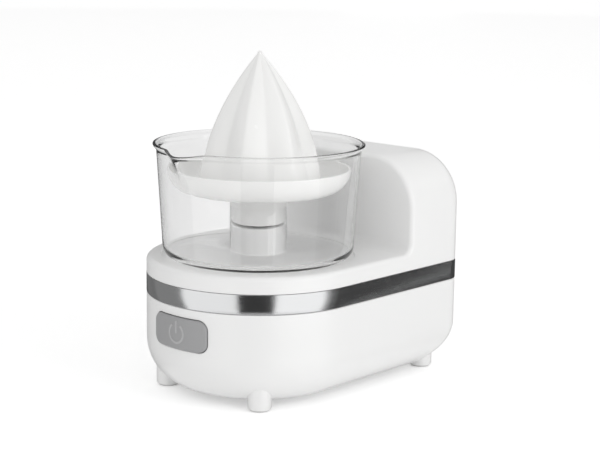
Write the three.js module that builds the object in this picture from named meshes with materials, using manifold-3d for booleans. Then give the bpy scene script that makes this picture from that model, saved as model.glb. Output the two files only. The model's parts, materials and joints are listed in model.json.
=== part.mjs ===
// Electric citrus press: an oblong base with a motor column behind a clear juice bowl.
// Millimetres, +Z up. The pieces are placed from the spindle's axis, +Y to the rear, and the
// whole group is then moved so that its origin lies under the middle of the object's box.
import * as THREE from "three";
import { mergeVertices } from "three/addons/utils/BufferGeometryUtils.js";
import Module from "manifold-3d";

const wasm = await Module();
wasm.setup();

// ---- driving dimensions -----------------------------------------------------------------------

const gap = 0.3; // left between two pieces that touch
const slack = 0.35; // radial room between a turning piece and what it turns in
const over = 1; // how far a cutting solid runs past what it cuts
const bite = 0.5; // how far two joined solids run into each other
const facets = { hole: 8, pin: 12, post: 14, shaft: 18, large: 26 }; // sides of a round surface

// From the floor up: belly, gears between tray and plate, band, deck, bowl, strainer, cone.
const belly = { bottom: 4, height: 33, inset: 30, cornerGrowth: 0.35 };
const tray = { bottom: belly.bottom + belly.height - 3, thickness: 3, postRadius: 4.2 };
const spindle = { radius: 4, bottom: tray.bottom - 7, headExtra: 1.4, headGap: 1.1 };
const wheel = {
  teeth: 52,
  bottom: tray.bottom + 10,
  width: 9,
  hubRadius: spindle.radius + 4,
  hubHeight: 2.5,
};
const shoulder = wheel.bottom + wheel.width + 2;
const idler = { wheelTeeth: 42, pinionTeeth: 12, bottom: wheel.bottom - 1, shoulder, top: shoulder + 7 };
const drivePinion = { teeth: 12, bottom: idler.shoulder - 0.5, top: idler.top + 1 };
const gears = { pressureAngle: 25, backlash: 0.3, addendum: 0.95, dedendum: 1.25 };
const axle = { radius: 2.5 };
const plateBottom = idler.top + 2;
const band = { bottom: plateBottom + 5, height: 13.4, thickness: 0.9, proud: 0.1 };
const bandTop = band.bottom + band.height;
const tongue = { inset: 1.3, top: bandTop + 1.8 };
const deck = { top: bandTop + 11.8, edge: 4, thickness: 3, recessDepth: 1 };
const tower = { radius: spindle.radius + 9, top: deck.top + 19.3 };
const upperBush = { radius: spindle.radius + 3, bottom: deck.top + 2.8, top: tower.top - 3.9 };
const seal = { radius: upperBush.radius, top: tower.top - gap };
const lowerBush = {
  radius: spindle.radius + 2.5,
  flangeRadius: spindle.radius + 4.5,
  flangeHeight: 1.2,
  drop: 1.5,
};
const clip = {
  bottom: tray.bottom - 3.4,
  height: 1,
  radius: spindle.radius + 3,
  grooveDepth: 0.8,
  mouth: 100,
};

// The drive tube sizes the bush, the strainer's collar and the bowl's chimney around it.
const tubeRadius = 13.4;
const coneBush = { drop: 9, wall: 1.65, flangeReach: 1.8, flange: 1.3 };
const collar = { wall: 1.5, drop: 11, inner: tubeRadius + slack + coneBush.wall + gap };
const collarRadius = collar.inner + collar.wall;

// The bowl's rim sizes everything else seen from above.
const rimRadius = 73.1;
const bowlBottom = deck.top - deck.recessDepth + gap;
const bowl = {
  bottom: bowlBottom,
  rim: bowlBottom + 78.7,
  wall: 2.3,
  floor: 2.6,
  footRadius: rimRadius - 13.1,
  heelRadius: rimRadius - 6.6,
  heelHeight: 8,
  heelRoom: 0.6,
  shoulderRadius: rimRadius - 2.5,
  rimRadius,
  flareHeight: 5,
  lip: 1,
};
const chimney = { radius: collarRadius + 2.8, wall: 2.4, top: bowl.bottom + 44.7 };
const spout = { halfAngle: 18, margin: 2, reach: 7.7, drop: 2, bottom: bowl.rim - 27.2, power: 1.3 };
const strainer = {
  floor: 2,
  wall: 1.8,
  floorRadius: rimRadius - 26.1,
  rimRadius: rimRadius - 9.6,
  height: 16.9,
  slots: 24,
  slotWidth: 2.2,
  slotInner: chimney.radius + 4,
  slotOuter: rimRadius - 23.1,
};
const cone = {
  height: 93.9,
  footRadius: strainer.floorRadius - 4.5,
  wall: 2.6,
  lobes: 7,
  fluteDepth: 0.15,
  blunt: 0.985,
  turn: 40.4,
  clearance: 0.6,
  roofRadius: tubeRadius + 3.6,
  tubeRadius,
  tubeBottom: tower.top + 2,
  tubeWall: 2.6,
};
const socket = { bottom: cone.tubeBottom + 2, roof: 1.5 };

const motor = { radius: 22, wall: 1.6, top: plateBottom + 61, shaftRadius: 2, endHole: 5 };
const column = {
  front: rimRadius + 1.1,
  top: deck.top + 66.2,
  archRadius: 37,
  frontEdge: 4.5,
  motorRoom: 7.05,
};
const motorDistance = column.front + column.motorRoom + motor.radius;

// Two pairs of gears span the way from the spindle to the motor, which sets the module.
const teethInLine = wheel.teeth + idler.pinionTeeth + idler.wheelTeeth + drivePinion.teeth;
const gearModule = (2 * motorDistance) / teethInLine;
const pitchRadius = (teeth) => (gearModule * teeth) / 2;
const wheelTip = pitchRadius(wheel.teeth) + gearModule * gears.addendum;

const base = {
  halfWidth: rimRadius + 4.4,
  rear: motorDistance + motor.radius + 10.25,
  cornerRadius: 16,
  wall: 3,
};
const plate = {
  bottom: plateBottom,
  thickness: 3,
  halfWidth: base.halfWidth - 16.5,
  front: -25,
  waist: motorDistance - 23.25,
  rear: base.rear - 8.5,
};
const plateTail = { halfWidth: 34, front: plate.waist + 18 };
const gearboxPosts = {
  frontX: plate.halfWidth - 5,
  frontY: plate.front + 7,
  rearX: plate.halfWidth - 11,
  rearY: plate.waist - 8,
};
const gearboxScrew = { radius: 1.5, headRadius: 2.8, headHeight: 2, length: 44 };
const magnet = { thickness: 4.6, bottom: plate.bottom + 11, top: motor.top - 10, halfAngle: 66 };
const armature = {
  radius: motor.radius - 7.6,
  hubRadius: 6,
  tipDepth: 2.6,
  poles: 5,
  slit: 0.24,
  bottom: plate.bottom + 14,
  top: motor.top - 13,
  poleWidth: 5,
};
const winding = { bottom: plate.bottom + 10.5, top: motor.top - 9.8 };
const commutator = { radius: 5.4, bottom: motor.top - 9, top: motor.top - 1.5 };
const brush = {
  width: 4,
  bottom: motor.top - 7.5,
  top: motor.top - 3,
  length: motor.radius - 15,
  holder: 2,
};
const endCap = {
  height: 6,
  skin: 2,
  rim: 2,
  ventLength: 7,
  ventWidth: 3,
  ventRadius: motor.radius - 8.5,
};
const fan = {
  bottom: motor.top + 8,
  height: 6.5,
  radius: motor.radius - 3,
  hubRadius: 6,
  blades: 6,
  blade: 1.4,
  lean: 22,
};
const motorShaftTop = fan.bottom + 8;
const motorScrew = {
  radius: 1.4,
  headRadius: 2.6,
  headHeight: 1.8,
  length: plate.thickness + 0.6,
  spacing: 2 * (motor.radius - 5),
};

const foot = { radius: 8.2, bottom: 1, top: 26, padInset: 1.2, padTop: 2, stem: 5 };
const footRows = {
  frontX: (base.halfWidth - 14.9) * Math.SQRT1_2,
  frontY: (14.9 - base.halfWidth) * Math.SQRT1_2,
  rearX: base.halfWidth - 25.5,
  rearY: base.rear - 15.5,
};
const footPlaces = {
  front_left: [-footRows.frontX, footRows.frontY],
  front_right: [footRows.frontX, footRows.frontY],
  rear_left: [-footRows.rearX, footRows.rearY],
  rear_right: [footRows.rearX, footRows.rearY],
};
const caseScrew = { radius: 1.8, headRadius: 3.1, headHeight: 2.4, length: 22, seat: band.bottom - 3 };
const caseBoss = {
  radius: 5.2,
  split: band.bottom + 10,
  ribWidth: 3,
  ribBottom: deck.top - 8.7,
  ribTop: deck.top + 1.8,
};
const screwSlot = { width: 0.6, share: 0.7, depth: 0.4 };
const vent = { count: 5, width: 46, height: 2.4, pitch: 7, lowest: deck.top + 11.8 };
const floorVent = { count: 6, length: 26, width: 2.6, pitch: 7, middle: 30 };

const button = {
  bottom: belly.bottom + belly.height + 3.4,
  height: 21.7,
  halfAngle: 18,
  corner: 6.5,
  proud: 1.7,
  gap: 0.45,
};
const buttonCap = { lip: 2, lipThickness: 2, stemWidth: 8, stemHeight: 6, travel: 2.5, clear: 2.2 };
const symbol = { radius: 7.2, line: 1.5, barTop: 8.6, opening: 34, proud: 0.3 };
const micro = { width: 20, depth: 8, height: 12, plungerRadius: 1.6, way: 6.8 };
const bracketSheet = 2;
const bracket = {
  front: -(wheelTip + 3 + micro.depth + gap + bracketSheet),
  thickness: bracketSheet,
  halfWidth: 17,
  bottom: belly.bottom + base.wall + 16,
  top: button.bottom + button.height + 3.9,
  footX: 16,
};
const bracketFoot = { depth: 16, screwX: 12, screwInset: 5 };
const bracketScrew = { radius: 1.2, headRadius: 2.4, headHeight: 1.6, length: 8 };
const tab = { width: 2.4, thickness: 0.8, length: 5, pitch: 6, back: 3 };

const board = {
  halfWidth: 25,
  front: base.rear - 61.5,
  length: 34,
  bottom: belly.bottom + base.wall + 9,
  thickness: 1.6,
  inset: 4,
};
const stand = { radius: 3, hole: 1 };
const terminal = { length: 18, depth: 8, height: 10, wellRadius: 1.5, pitch: 6 };
const capacitor = { length: 18, depth: 8, height: 11, corner: 1.5 };
const glandRadius = 6;
const gland = {
  z: band.bottom - 17,
  radius: glandRadius,
  bore: glandRadius - 2.4,
  flangeRadius: glandRadius + 2.5,
  flange: 2,
  lock: 3,
  lockRadius: glandRadius + 1.2,
};

const material = (color, roughness, metalness = 0, opacity = 1) =>
  new THREE.MeshStandardMaterial({
    color,
    roughness,
    metalness,
    opacity,
    transparent: opacity < 1,
  });
const finishes = {
  whitePlastic: material(0xf1f1ef, 0.32),
  clearPlastic: material(0xe8eef0, 0.06, 0, 0.35),
  brushedSteel: material(0xb9bbbd, 0.34, 1),
  greyPlastic: material(0x9fa0a2, 0.45),
  paleRubber: material(0xdcdcda, 0.8),
  steel: material(0xa7a9ab, 0.3, 1),
  bronze: material(0xa9793c, 0.42, 1),
  copper: material(0xb0673a, 0.4, 1),
  iron: material(0x4b4d50, 0.6),
  gearPlastic: material(0xe6e2d2, 0.5),
  blackPlastic: material(0x26272a, 0.55),
  blackRubber: material(0x1b1b1c, 0.85),
  greenBoard: material(0x2c6a43, 0.6),
};

// ---- solids from three.js geometry ------------------------------------------------------------

// A closed geometry as a solid that can be joined and cut.
function solid(geometry) {
  const bare = geometry.clone();
  bare.deleteAttribute("normal");
  bare.deleteAttribute("uv");
  const merged = mergeVertices(bare, 1e-4);
  const corners = merged.index.array;
  const triangles = [];
  for (let i = 0; i < corners.length; i += 3) {
    const [a, b, c] = corners.slice(i, i + 3);
    if (a !== b && b !== c && c !== a) {
      triangles.push(a, b, c);
    }
  }
  return new wasm.Manifold(
    new wasm.Mesh({
      numProp: 3,
      vertProperties: merged.attributes.position.array,
      triVerts: new Uint32Array(triangles),
    }),
  );
}

const join = (first, ...rest) => rest.reduce((whole, piece) => whole.add(piece), first);
const cut = (first, ...rest) => rest.reduce((whole, piece) => whole.subtract(piece), first);

function geometryOf(made) {
  const mesh = made.getMesh();
  const points = new Float32Array(mesh.numVert * 3);
  for (let i = 0; i < mesh.numVert; i++) {
    const start = i * mesh.numProp;
    points.set(mesh.vertProperties.subarray(start, start + 3), i * 3);
  }
  return new THREE.BufferGeometry()
    .setAttribute("position", new THREE.BufferAttribute(points, 3))
    .setIndex(new THREE.BufferAttribute(mesh.triVerts, 1));
}

// An upright cylinder from one height to another.
function rod(radius, bottom, top, [x, y] = [0, 0], segments = facets.pin) {
  const geometry = new THREE.CylinderGeometry(radius, radius, top - bottom, segments);
  geometry.rotateX(Math.PI / 2);
  geometry.translate(x, y, (bottom + top) / 2);
  return solid(geometry);
}

function rodAlongY(radius, front, back, x, z, segments = facets.pin) {
  const geometry = new THREE.CylinderGeometry(radius, radius, back - front, segments);
  geometry.translate(x, (front + back) / 2, z);
  return solid(geometry);
}

// An upright hexagonal bar, given its size across the flats.
function hexagon(across, bottom, top) {
  return rod(across / Math.sqrt(3), bottom, top, [0, 0], 6);
}

function block(x0, x1, y0, y1, z0, z1) {
  const geometry = new THREE.BoxGeometry(x1 - x0, y1 - y0, z1 - z0);
  geometry.translate((x0 + x1) / 2, (y0 + y1) / 2, (z0 + z1) / 2);
  return solid(geometry);
}

// A closed profile of [radius, height] points, turned about an upright axis.
function turned(profile, segments = facets.large, [x, y] = [0, 0]) {
  const points = profile.map(([radius, height]) => new THREE.Vector2(radius, height));
  const geometry = new THREE.LatheGeometry(points, segments);
  geometry.rotateX(Math.PI / 2);
  geometry.translate(x, y, 0);
  return solid(geometry);
}

// A round tube, open at both ends.
function tube(inner, outer, bottom, top, place = [0, 0], segments = facets.post) {
  const profile = [
    [inner, bottom],
    [outer, bottom],
    [outer, top],
    [inner, top],
    [inner, bottom],
  ];
  return turned(profile, segments, place);
}

// A shape drawn in X and Y, made solid from one height to another.
function upright(shape, bottom, top, place = [0, 0], curveSegments = 5) {
  const depth = top - bottom;
  const geometry = new THREE.ExtrudeGeometry(shape, { depth, bevelEnabled: false, curveSegments });
  geometry.translate(place[0], place[1], bottom);
  return solid(geometry);
}

// A shape drawn in X and Z, made solid from one place along Y to another.
function alongY(shape, front, back, curveSegments = 5) {
  const depth = back - front;
  const geometry = new THREE.ExtrudeGeometry(shape, { depth, bevelEnabled: false, curveSegments });
  geometry.rotateX(Math.PI / 2);
  geometry.translate(0, back, 0);
  return solid(geometry);
}

const arc = (x, y, radius, from, to, segments) =>
  new THREE.EllipseCurve(x, y, radius, radius, from, to, to < from).getPoints(segments);

function roundedRectangle(x0, x1, y0, y1, radius) {
  const quarter = Math.PI / 2;
  return new THREE.Shape([
    ...arc(x1 - radius, y0 + radius, radius, -quarter, 0, 4),
    ...arc(x1 - radius, y1 - radius, radius, 0, quarter, 4),
    ...arc(x0 + radius, y1 - radius, radius, quarter, 2 * quarter, 4),
    ...arc(x0 + radius, y0 + radius, radius, 2 * quarter, 3 * quarter, 4),
  ]);
}

// A skin over closed rings that all have the same number of points, with flat ends. The rings
// run along Z, or along Y where they stand upright.
function lofted(rings, standing = false) {
  const count = rings[0].length;
  const faces = [];
  for (let row = 0; row + 1 < rings.length; row++) {
    for (let i = 0; i < count; i++) {
      const a = row * count + i;
      const b = row * count + ((i + 1) % count);
      faces.push(a, b, b + count, a, b + count, a + count);
    }
  }
  for (const row of [0, rings.length - 1]) {
    const outline = rings[row].map((point) =>
      standing ? new THREE.Vector2(point.z, point.x) : new THREE.Vector2(point.x, point.y),
    );
    for (const triangle of THREE.ShapeUtils.triangulateShape(outline, [])) {
      const corners = triangle.map((i) => row * count + i);
      faces.push(...(row === 0 ? corners.reverse() : corners));
    }
  }
  const geometry = new THREE.BufferGeometry().setFromPoints(rings.flat());
  geometry.setIndex(faces);
  return solid(geometry);
}

const rad = THREE.MathUtils.degToRad;
const polar = (radius, angle) =>
  new THREE.Vector2(radius * Math.cos(angle), radius * Math.sin(angle));

// Repeats a solid's geometry about an upright axis.
function aroundAxis(count, firstAngle, place, make) {
  return Array.from({ length: count }, (_, i) => {
    const geometry = make();
    geometry.rotateZ(firstAngle + (i * 2 * Math.PI) / count);
    geometry.translate(place[0], place[1], 0);
    return solid(geometry);
  });
}

// ---- the two housing shells and the band ------------------------------------------------------

// The base's outline: round in front, straight sides, two rounded rear corners.
function baseRing(inset, height, corner = base.cornerRadius - inset) {
  const half = base.halfWidth - inset;
  const rear = base.rear - inset;
  const outline = [
    ...arc(0, 0, half, Math.PI, 2 * Math.PI, 22),
    ...arc(half - corner, rear - corner, corner, 0, Math.PI / 2, 3),
    ...arc(corner - half, rear - corner, corner, Math.PI / 2, Math.PI, 3),
  ];
  return outline.map((point) => new THREE.Vector3(point.x, point.y, height));
}

const slab = (inset, bottom, top) => lofted([baseRing(inset, bottom), baseRing(inset, top)]);

// The belly's rings, from its flat bottom to its upright side.
function bellyRings(inward) {
  const steps = 5;
  const centre = belly.bottom + belly.height;
  return Array.from({ length: steps + 1 }, (_, i) => {
    const angle = (Math.PI / 2) * (1 - i / steps);
    const inset = belly.inset - (belly.inset - inward) * Math.cos(angle);
    const height = centre - (belly.height - inward) * Math.sin(angle);
    const corner = base.cornerRadius - inward + belly.cornerGrowth * (inset - inward);
    return baseRing(inset, height, corner);
  });
}

const innerFloor = belly.bottom + base.wall;
const padRadius = foot.radius - foot.padInset;
const places = Object.values(footPlaces);
const plateTop = plate.bottom + plate.thickness;
const skirt = bandTop + gap;

// The button's outline as seen from the front, in X and Z.
function buttonShape(grow) {
  const half = base.halfWidth * Math.sin(rad(button.halfAngle)) + grow;
  const bottom = button.bottom - grow;
  const top = button.bottom + button.height + grow;
  return roundedRectangle(-half, half, bottom, top, button.corner + grow);
}

function lowerHousing() {
  const lipTop = band.bottom - gap;
  const outside = join(
    lofted([...bellyRings(0), baseRing(0, lipTop)]),
    slab(tongue.inset, lipTop - over, tongue.top),
  );
  const inside = lofted([...bellyRings(base.wall), baseRing(base.wall, tongue.top + over)]);
  const posts = places.map((place) => rod(foot.radius, foot.bottom, foot.top, place, facets.post));
  const bosses = places.map((place) =>
    rod(caseBoss.radius, belly.bottom + base.wall, caseBoss.split, place),
  );
  const stands = [...boardCorners(), ...bracketScrewPlaces()].map((place, i) => {
    const top = i < boardCorners().length ? board.bottom : bracket.bottom;
    return rod(stand.radius, innerFloor - over, top - gap, place, facets.hole);
  });
  const pilots = bracketScrewPlaces().map((place) =>
    rod(bracketScrew.radius + gap, innerFloor - base.wall / 2, bracket.bottom, place, facets.hole),
  );
  const footHoles = places.flatMap((place) => [
    rod(padRadius + gap, foot.bottom - over, foot.padTop + gap, place, facets.post),
    rod(caseScrew.headRadius + gap, foot.bottom - over, caseScrew.seat, place),
    rod(caseScrew.radius + gap, caseScrew.seat - over, caseBoss.split + over, place, facets.hole),
  ]);
  const glandHole = rodAlongY(
    gland.radius + gap,
    base.rear - 2 * base.wall,
    base.rear + over,
    0,
    gland.z,
    facets.post,
  );
  const front = -base.halfWidth;
  const window = alongY(buttonShape(button.gap), front - over, front + 4 * base.wall);
  const slots = Array.from({ length: floorVent.count }, (_, i) => {
    const y = floorVent.middle + (i - (floorVent.count - 1) / 2) * floorVent.pitch;
    const half = floorVent.length / 2;
    return block(-half, half, y, y + floorVent.width, belly.bottom - over, innerFloor + over);
  });
  const shell = join(cut(join(outside, ...posts), inside), ...bosses, ...stands);
  return cut(shell, ...footHoles, ...pilots, glandHole, window, ...slots);
}

function archRing(inset, y, bottom) {
  const half = base.halfWidth - inset;
  const top = column.top - inset;
  const radius = column.archRadius - inset;
  const outline = [
    new THREE.Vector2(-half, bottom),
    ...arc(radius - half, top - radius, radius, Math.PI, Math.PI / 2, 6),
    ...arc(half - radius, top - radius, radius, Math.PI / 2, 0, 6),
    new THREE.Vector2(half, bottom),
  ];
  return outline.map((point) => new THREE.Vector3(point.x, y, point.y));
}

// The column: an arch that stands across the base and runs to the rear, its ends rounded.
function columnBody(inward, bottom) {
  const front = column.front + inward;
  const rear = base.rear - inward;
  const frontRadius = Math.max(column.frontEdge - inward, bite);
  const rearRadius = base.cornerRadius - inward;
  const rings = [];
  for (let i = 0; i <= 2; i++) {
    const angle = (i / 2) * (Math.PI / 2);
    const inset = inward + frontRadius * (1 - Math.sin(angle));
    rings.push(archRing(inset, front + frontRadius * (1 - Math.cos(angle)), bottom));
  }
  for (let i = 0; i <= 3; i++) {
    const angle = (i / 3) * (Math.PI / 2);
    const inset = inward + rearRadius * (1 - Math.cos(angle));
    rings.push(archRing(inset, rear - rearRadius * (1 - Math.sin(angle)), bottom));
  }
  return lofted(rings, true);
}

// The hole for a screw's end, a little deeper than the screw reaches.
const pilot = (kind, bottom, seat, place) =>
  rod(kind.radius + gap, bottom, seat + kind.length + 2 * over, place, facets.hole);

function upperHousing() {
  const underDeck = deck.top - deck.thickness;
  const edge = [0, 1, 2].map((i) => {
    const angle = (i / 2) * (Math.PI / 2);
    const inset = deck.edge * (1 - Math.cos(angle));
    return baseRing(inset, deck.top - deck.edge * (1 - Math.sin(angle)));
  });
  const outside = join(lofted([baseRing(0, skirt), ...edge]), columnBody(0, skirt + over));
  const inside = join(
    slab(base.wall, skirt - over, underDeck),
    slab(tongue.inset - gap, skirt - over, tongue.top + gap),
    columnBody(base.wall, skirt - over),
  );
  const seat = cut(
    rod(
      bowl.heelRadius + bowl.heelRoom,
      deck.top - deck.recessDepth,
      deck.top + over,
      [0, 0],
      facets.large,
    ),
    columnBody(0, skirt),
  );
  const bosses = [
    ...places.map((place) => rod(caseBoss.radius, caseBoss.split + gap, underDeck + over, place)),
    ...postPlaces().map((place) => rod(tray.postRadius, plateTop + gap, underDeck + over, place)),
  ];
  const halfRib = caseBoss.ribWidth / 2;
  const ribs = [places[2], places[3]].map(([x, y]) =>
    block(x - halfRib, x + halfRib, y, base.rear - over, caseBoss.ribBottom, caseBoss.ribTop),
  );
  const towerTube = rod(tower.radius, underDeck - over, tower.top, [0, 0], facets.shaft);
  const holes = [
    rod(spindle.radius + slack + over, underDeck - 2 * over, tower.top + over),
    rod(upperBush.radius + gap, upperBush.bottom - gap, tower.top + over, [0, 0], facets.post),
    ...places.map((place) => pilot(caseScrew, caseBoss.split, caseScrew.seat, place)),
    ...postPlaces().map((place) => pilot(gearboxScrew, plateTop, tray.bottom, place)),
  ];
  const slots = Array.from({ length: vent.count }, (_, i) => {
    const z = vent.lowest + i * vent.pitch;
    const half = vent.width / 2;
    return block(-half, half, base.rear - 2 * base.wall, base.rear + over, z, z + vent.height);
  });
  return cut(join(cut(outside, inside, seat), ...bosses, ...ribs, towerTube), ...holes, ...slots);
}

function steelBand() {
  const inner = band.thickness - band.proud;
  return cut(slab(-band.proud, band.bottom, bandTop), slab(inner, band.bottom - over, bandTop + over));
}

function footPad(place) {
  return join(
    rod(padRadius, 0, foot.padTop, place, facets.post),
    rod(caseScrew.headRadius - gap, foot.padTop - bite, foot.padTop + foot.stem, place, facets.hole),
  );
}

// A pan-head screw, its head's inner face at the given height. It points up, or down.
function screw(kind, [x, y], seat, up = true) {
  const way = up ? 1 : -1;
  const far = seat - way * kind.headHeight;
  const tip = seat + way * kind.length;
  const start = seat - way * bite;
  const slotEnd = far + way * kind.headHeight * screwSlot.depth;
  const head = rod(kind.headRadius, Math.min(seat, far), Math.max(seat, far), [x, y], facets.pin);
  const shank = rod(kind.radius, Math.min(start, tip), Math.max(start, tip), [x, y], facets.hole);
  const low = Math.min(far - way * over, slotEnd);
  const high = Math.max(far - way * over, slotEnd);
  const long = kind.headRadius * screwSlot.share;
  const wide = screwSlot.width / 2;
  return cut(join(head, shank), block(x - long, x + long, y - wide, y + wide, low, high));
}

function cordGland() {
  const outside = base.rear + gap;
  const inside = base.rear - base.wall - gap;
  const end = outside + gland.flange;
  const body = join(
    rodAlongY(gland.radius, inside - gland.lock, end, 0, gland.z, facets.post),
    rodAlongY(gland.flangeRadius, outside, end, 0, gland.z, facets.post),
    rodAlongY(gland.lockRadius, inside - gland.lock, inside, 0, gland.z, facets.post),
  );
  return cut(body, rodAlongY(gland.bore, inside - gland.lock - over, end + over, 0, gland.z));
}

// ---- gears ------------------------------------------------------------------------------------

const idlerPlace = [0, pitchRadius(wheel.teeth + idler.pinionTeeth)];
const motorPlace = [0, motorDistance];

// A gear's outline with involute flanks. One tooth is centred on the given angle.
function gearShape(teeth, firstTooth, bore) {
  const pitch = pitchRadius(teeth);
  const baseRadius = pitch * Math.cos(rad(gears.pressureAngle));
  const tip = pitch + gearModule * gears.addendum;
  const root = pitch - gearModule * gears.dedendum;
  const involute = (radius) => {
    const angle = Math.acos(Math.min(1, baseRadius / radius));
    return Math.tan(angle) - angle;
  };
  const halfTooth = Math.PI / (2 * teeth) - gears.backlash / (2 * pitch);
  const halfAt = (radius) => halfTooth + involute(pitch) - involute(radius);
  const start = Math.max(baseRadius, root);
  const heights = start > root ? [root, start, pitch, tip] : [root, tip];
  const points = [];
  for (let tooth = 0; tooth < teeth; tooth++) {
    const middle = firstTooth + (tooth * 2 * Math.PI) / teeth;
    points.push(
      ...heights.map((radius) => polar(radius, middle - halfAt(Math.max(radius, start)))),
      ...heights.toReversed().map((radius) => polar(radius, middle + halfAt(Math.max(radius, start)))),
    );
  }
  const shape = new THREE.Shape(points);
  shape.holes.push(new THREE.Path(arc(0, 0, bore, 2 * Math.PI, 0, facets.pin).slice(1)));
  return shape;
}

// Where the first tooth of a gear stands that is driven from its front side.
const meshAngle = (teeth) => Math.PI / teeth - Math.PI / 2;

function spindleGear() {
  const bore = spindle.radius + gap;
  const top = wheel.bottom + wheel.width;
  return join(
    upright(gearShape(wheel.teeth, Math.PI / 2, bore), wheel.bottom, top),
    tube(bore, wheel.hubRadius, top - over, top + wheel.hubHeight, [0, 0], facets.pin),
  );
}

// The wheel and the pinion are one moulding. Each has its own tooth in line with its neighbour.
function idlerGear() {
  const bore = axle.radius + slack;
  const pinion = gearShape(idler.pinionTeeth, meshAngle(idler.pinionTeeth), bore);
  return join(
    upright(gearShape(idler.wheelTeeth, Math.PI / 2, bore), idler.shoulder, idler.top, idlerPlace),
    upright(pinion, idler.bottom, idler.shoulder + over, idlerPlace),
  );
}

function motorPinion() {
  const shape = gearShape(drivePinion.teeth, meshAngle(drivePinion.teeth), motor.shaftRadius + gap);
  return upright(shape, drivePinion.bottom, drivePinion.top, motorPlace);
}

// ---- spindle, tray and plate ------------------------------------------------------------------

const headAcross = 2 * spindle.radius + spindle.headExtra;
const headBottom = tower.top + spindle.headGap;

function driveSpindle() {
  const shaft = rod(spindle.radius, spindle.bottom, headBottom + over, [0, 0], facets.post);
  const groove = tube(
    spindle.radius - clip.grooveDepth,
    spindle.radius + over,
    clip.bottom - gap,
    clip.bottom + clip.height + gap,
  );
  return join(cut(shaft, groove), hexagon(headAcross, headBottom, socketTop - socket.roof - gap));
}

// A spring clip: a ring with an open mouth, seated in the spindle's groove.
function retainingClip() {
  const inner = spindle.radius - clip.grooveDepth + gap;
  const half = rad(clip.mouth) / 2;
  const shape = new THREE.Shape([
    ...arc(0, 0, clip.radius, half, 2 * Math.PI - half, 12),
    ...arc(0, 0, inner, 2 * Math.PI - half, half, 12),
  ]);
  return upright(shape, clip.bottom, clip.bottom + clip.height);
}

function flangedLowerBush() {
  const inner = spindle.radius + slack;
  const seat = tray.bottom + tray.thickness + gap;
  return turned(
    [
      [inner, tray.bottom - lowerBush.drop],
      [lowerBush.radius, tray.bottom - lowerBush.drop],
      [lowerBush.radius, seat],
      [lowerBush.flangeRadius, seat],
      [lowerBush.flangeRadius, seat + lowerBush.flangeHeight],
      [lowerBush.radius, seat + lowerBush.flangeHeight],
      [lowerBush.radius, wheel.bottom - gap],
      [inner, wheel.bottom - gap],
      [inner, tray.bottom - lowerBush.drop],
    ],
    facets.post,
  );
}

function postPlaces() {
  return [
    [-gearboxPosts.frontX, gearboxPosts.frontY],
    [gearboxPosts.frontX, gearboxPosts.frontY],
    [-gearboxPosts.rearX, gearboxPosts.rearY],
    [gearboxPosts.rearX, gearboxPosts.rearY],
  ];
}

const screwHoles = (bottom, top) =>
  postPlaces().map((place) =>
    rod(gearboxScrew.radius + gap, bottom - over, top + over, place, facets.hole),
  );

function drivePlate() {
  const outline = [
    [-plate.halfWidth, plate.front],
    [plate.halfWidth, plate.front],
    [plate.halfWidth, plate.waist],
    [plateTail.halfWidth, plateTail.front],
    [plateTail.halfWidth, plate.rear],
    [-plateTail.halfWidth, plate.rear],
    [-plateTail.halfWidth, plateTail.front],
    [-plate.halfWidth, plate.waist],
  ];
  const sheet = upright(
    new THREE.Shape(outline.map(([x, y]) => new THREE.Vector2(x, y))),
    plate.bottom,
    plateTop,
  );
  const holes = [
    rod(spindle.radius + 2 * over, plate.bottom - over, plateTop + over),
    rod(axle.radius + gap, plate.bottom - over, plateTop + over, idlerPlace),
    rod(motor.endHole, plate.bottom - over, plateTop + over, motorPlace),
    ...motorScrewPlaces().map((place) =>
      rod(motorScrew.radius + gap, plate.bottom - over, plateTop + over, place, facets.hole),
    ),
  ];
  return cut(sheet, ...holes, ...screwHoles(plate.bottom, plateTop));
}

// The tray under the gears, with a spacer post at each corner.
function gearTray() {
  const top = tray.bottom + tray.thickness;
  const outline = roundedRectangle(
    -plate.halfWidth,
    plate.halfWidth,
    plate.front,
    plate.waist,
    tray.postRadius,
  );
  const posts = postPlaces().map((place) =>
    rod(tray.postRadius, top - over, plate.bottom - gap, place),
  );
  const holes = [
    rod(lowerBush.radius + gap, tray.bottom - over, top + over, [0, 0], facets.post),
    rod(axle.radius + gap, tray.bottom - over, top + over, idlerPlace),
  ];
  const whole = join(upright(outline, tray.bottom, top), ...posts);
  return cut(whole, ...holes, ...screwHoles(tray.bottom, plate.bottom));
}

// ---- motor ------------------------------------------------------------------------------------

const motorBottom = plateTop + gap;
const motorBore = motor.shaftRadius + gap;
const canInside = motor.radius - motor.wall;

function motorScrewPlaces() {
  return [-1, 1].map((side) => [(side * motorScrew.spacing) / 2, motorPlace[1]]);
}

function motorCan() {
  const floorTop = motorBottom + motor.wall;
  const can = turned(
    [
      [motor.endHole, motorBottom],
      [motor.radius, motorBottom],
      [motor.radius, motor.top],
      [canInside, motor.top],
      [canInside, floorTop],
      [motor.endHole, floorTop],
      [motor.endHole, motorBottom],
    ],
    facets.shaft,
    motorPlace,
  );
  const holes = motorScrewPlaces().map((place) =>
    rod(motorScrew.radius + gap, motorBottom - over, floorTop + over, place, facets.hole),
  );
  return cut(can, ...holes);
}

function motorMagnet(side) {
  const outer = canInside * Math.cos(Math.PI / facets.shaft) - gap;
  const half = rad(magnet.halfAngle);
  const middle = side < 0 ? Math.PI : 0;
  const shape = new THREE.Shape([
    ...arc(0, 0, outer, middle - half, middle + half, 7),
    ...arc(0, 0, outer - magnet.thickness, middle + half, middle - half, 7),
  ]);
  return upright(shape, magnet.bottom, magnet.top, motorPlace);
}

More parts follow.
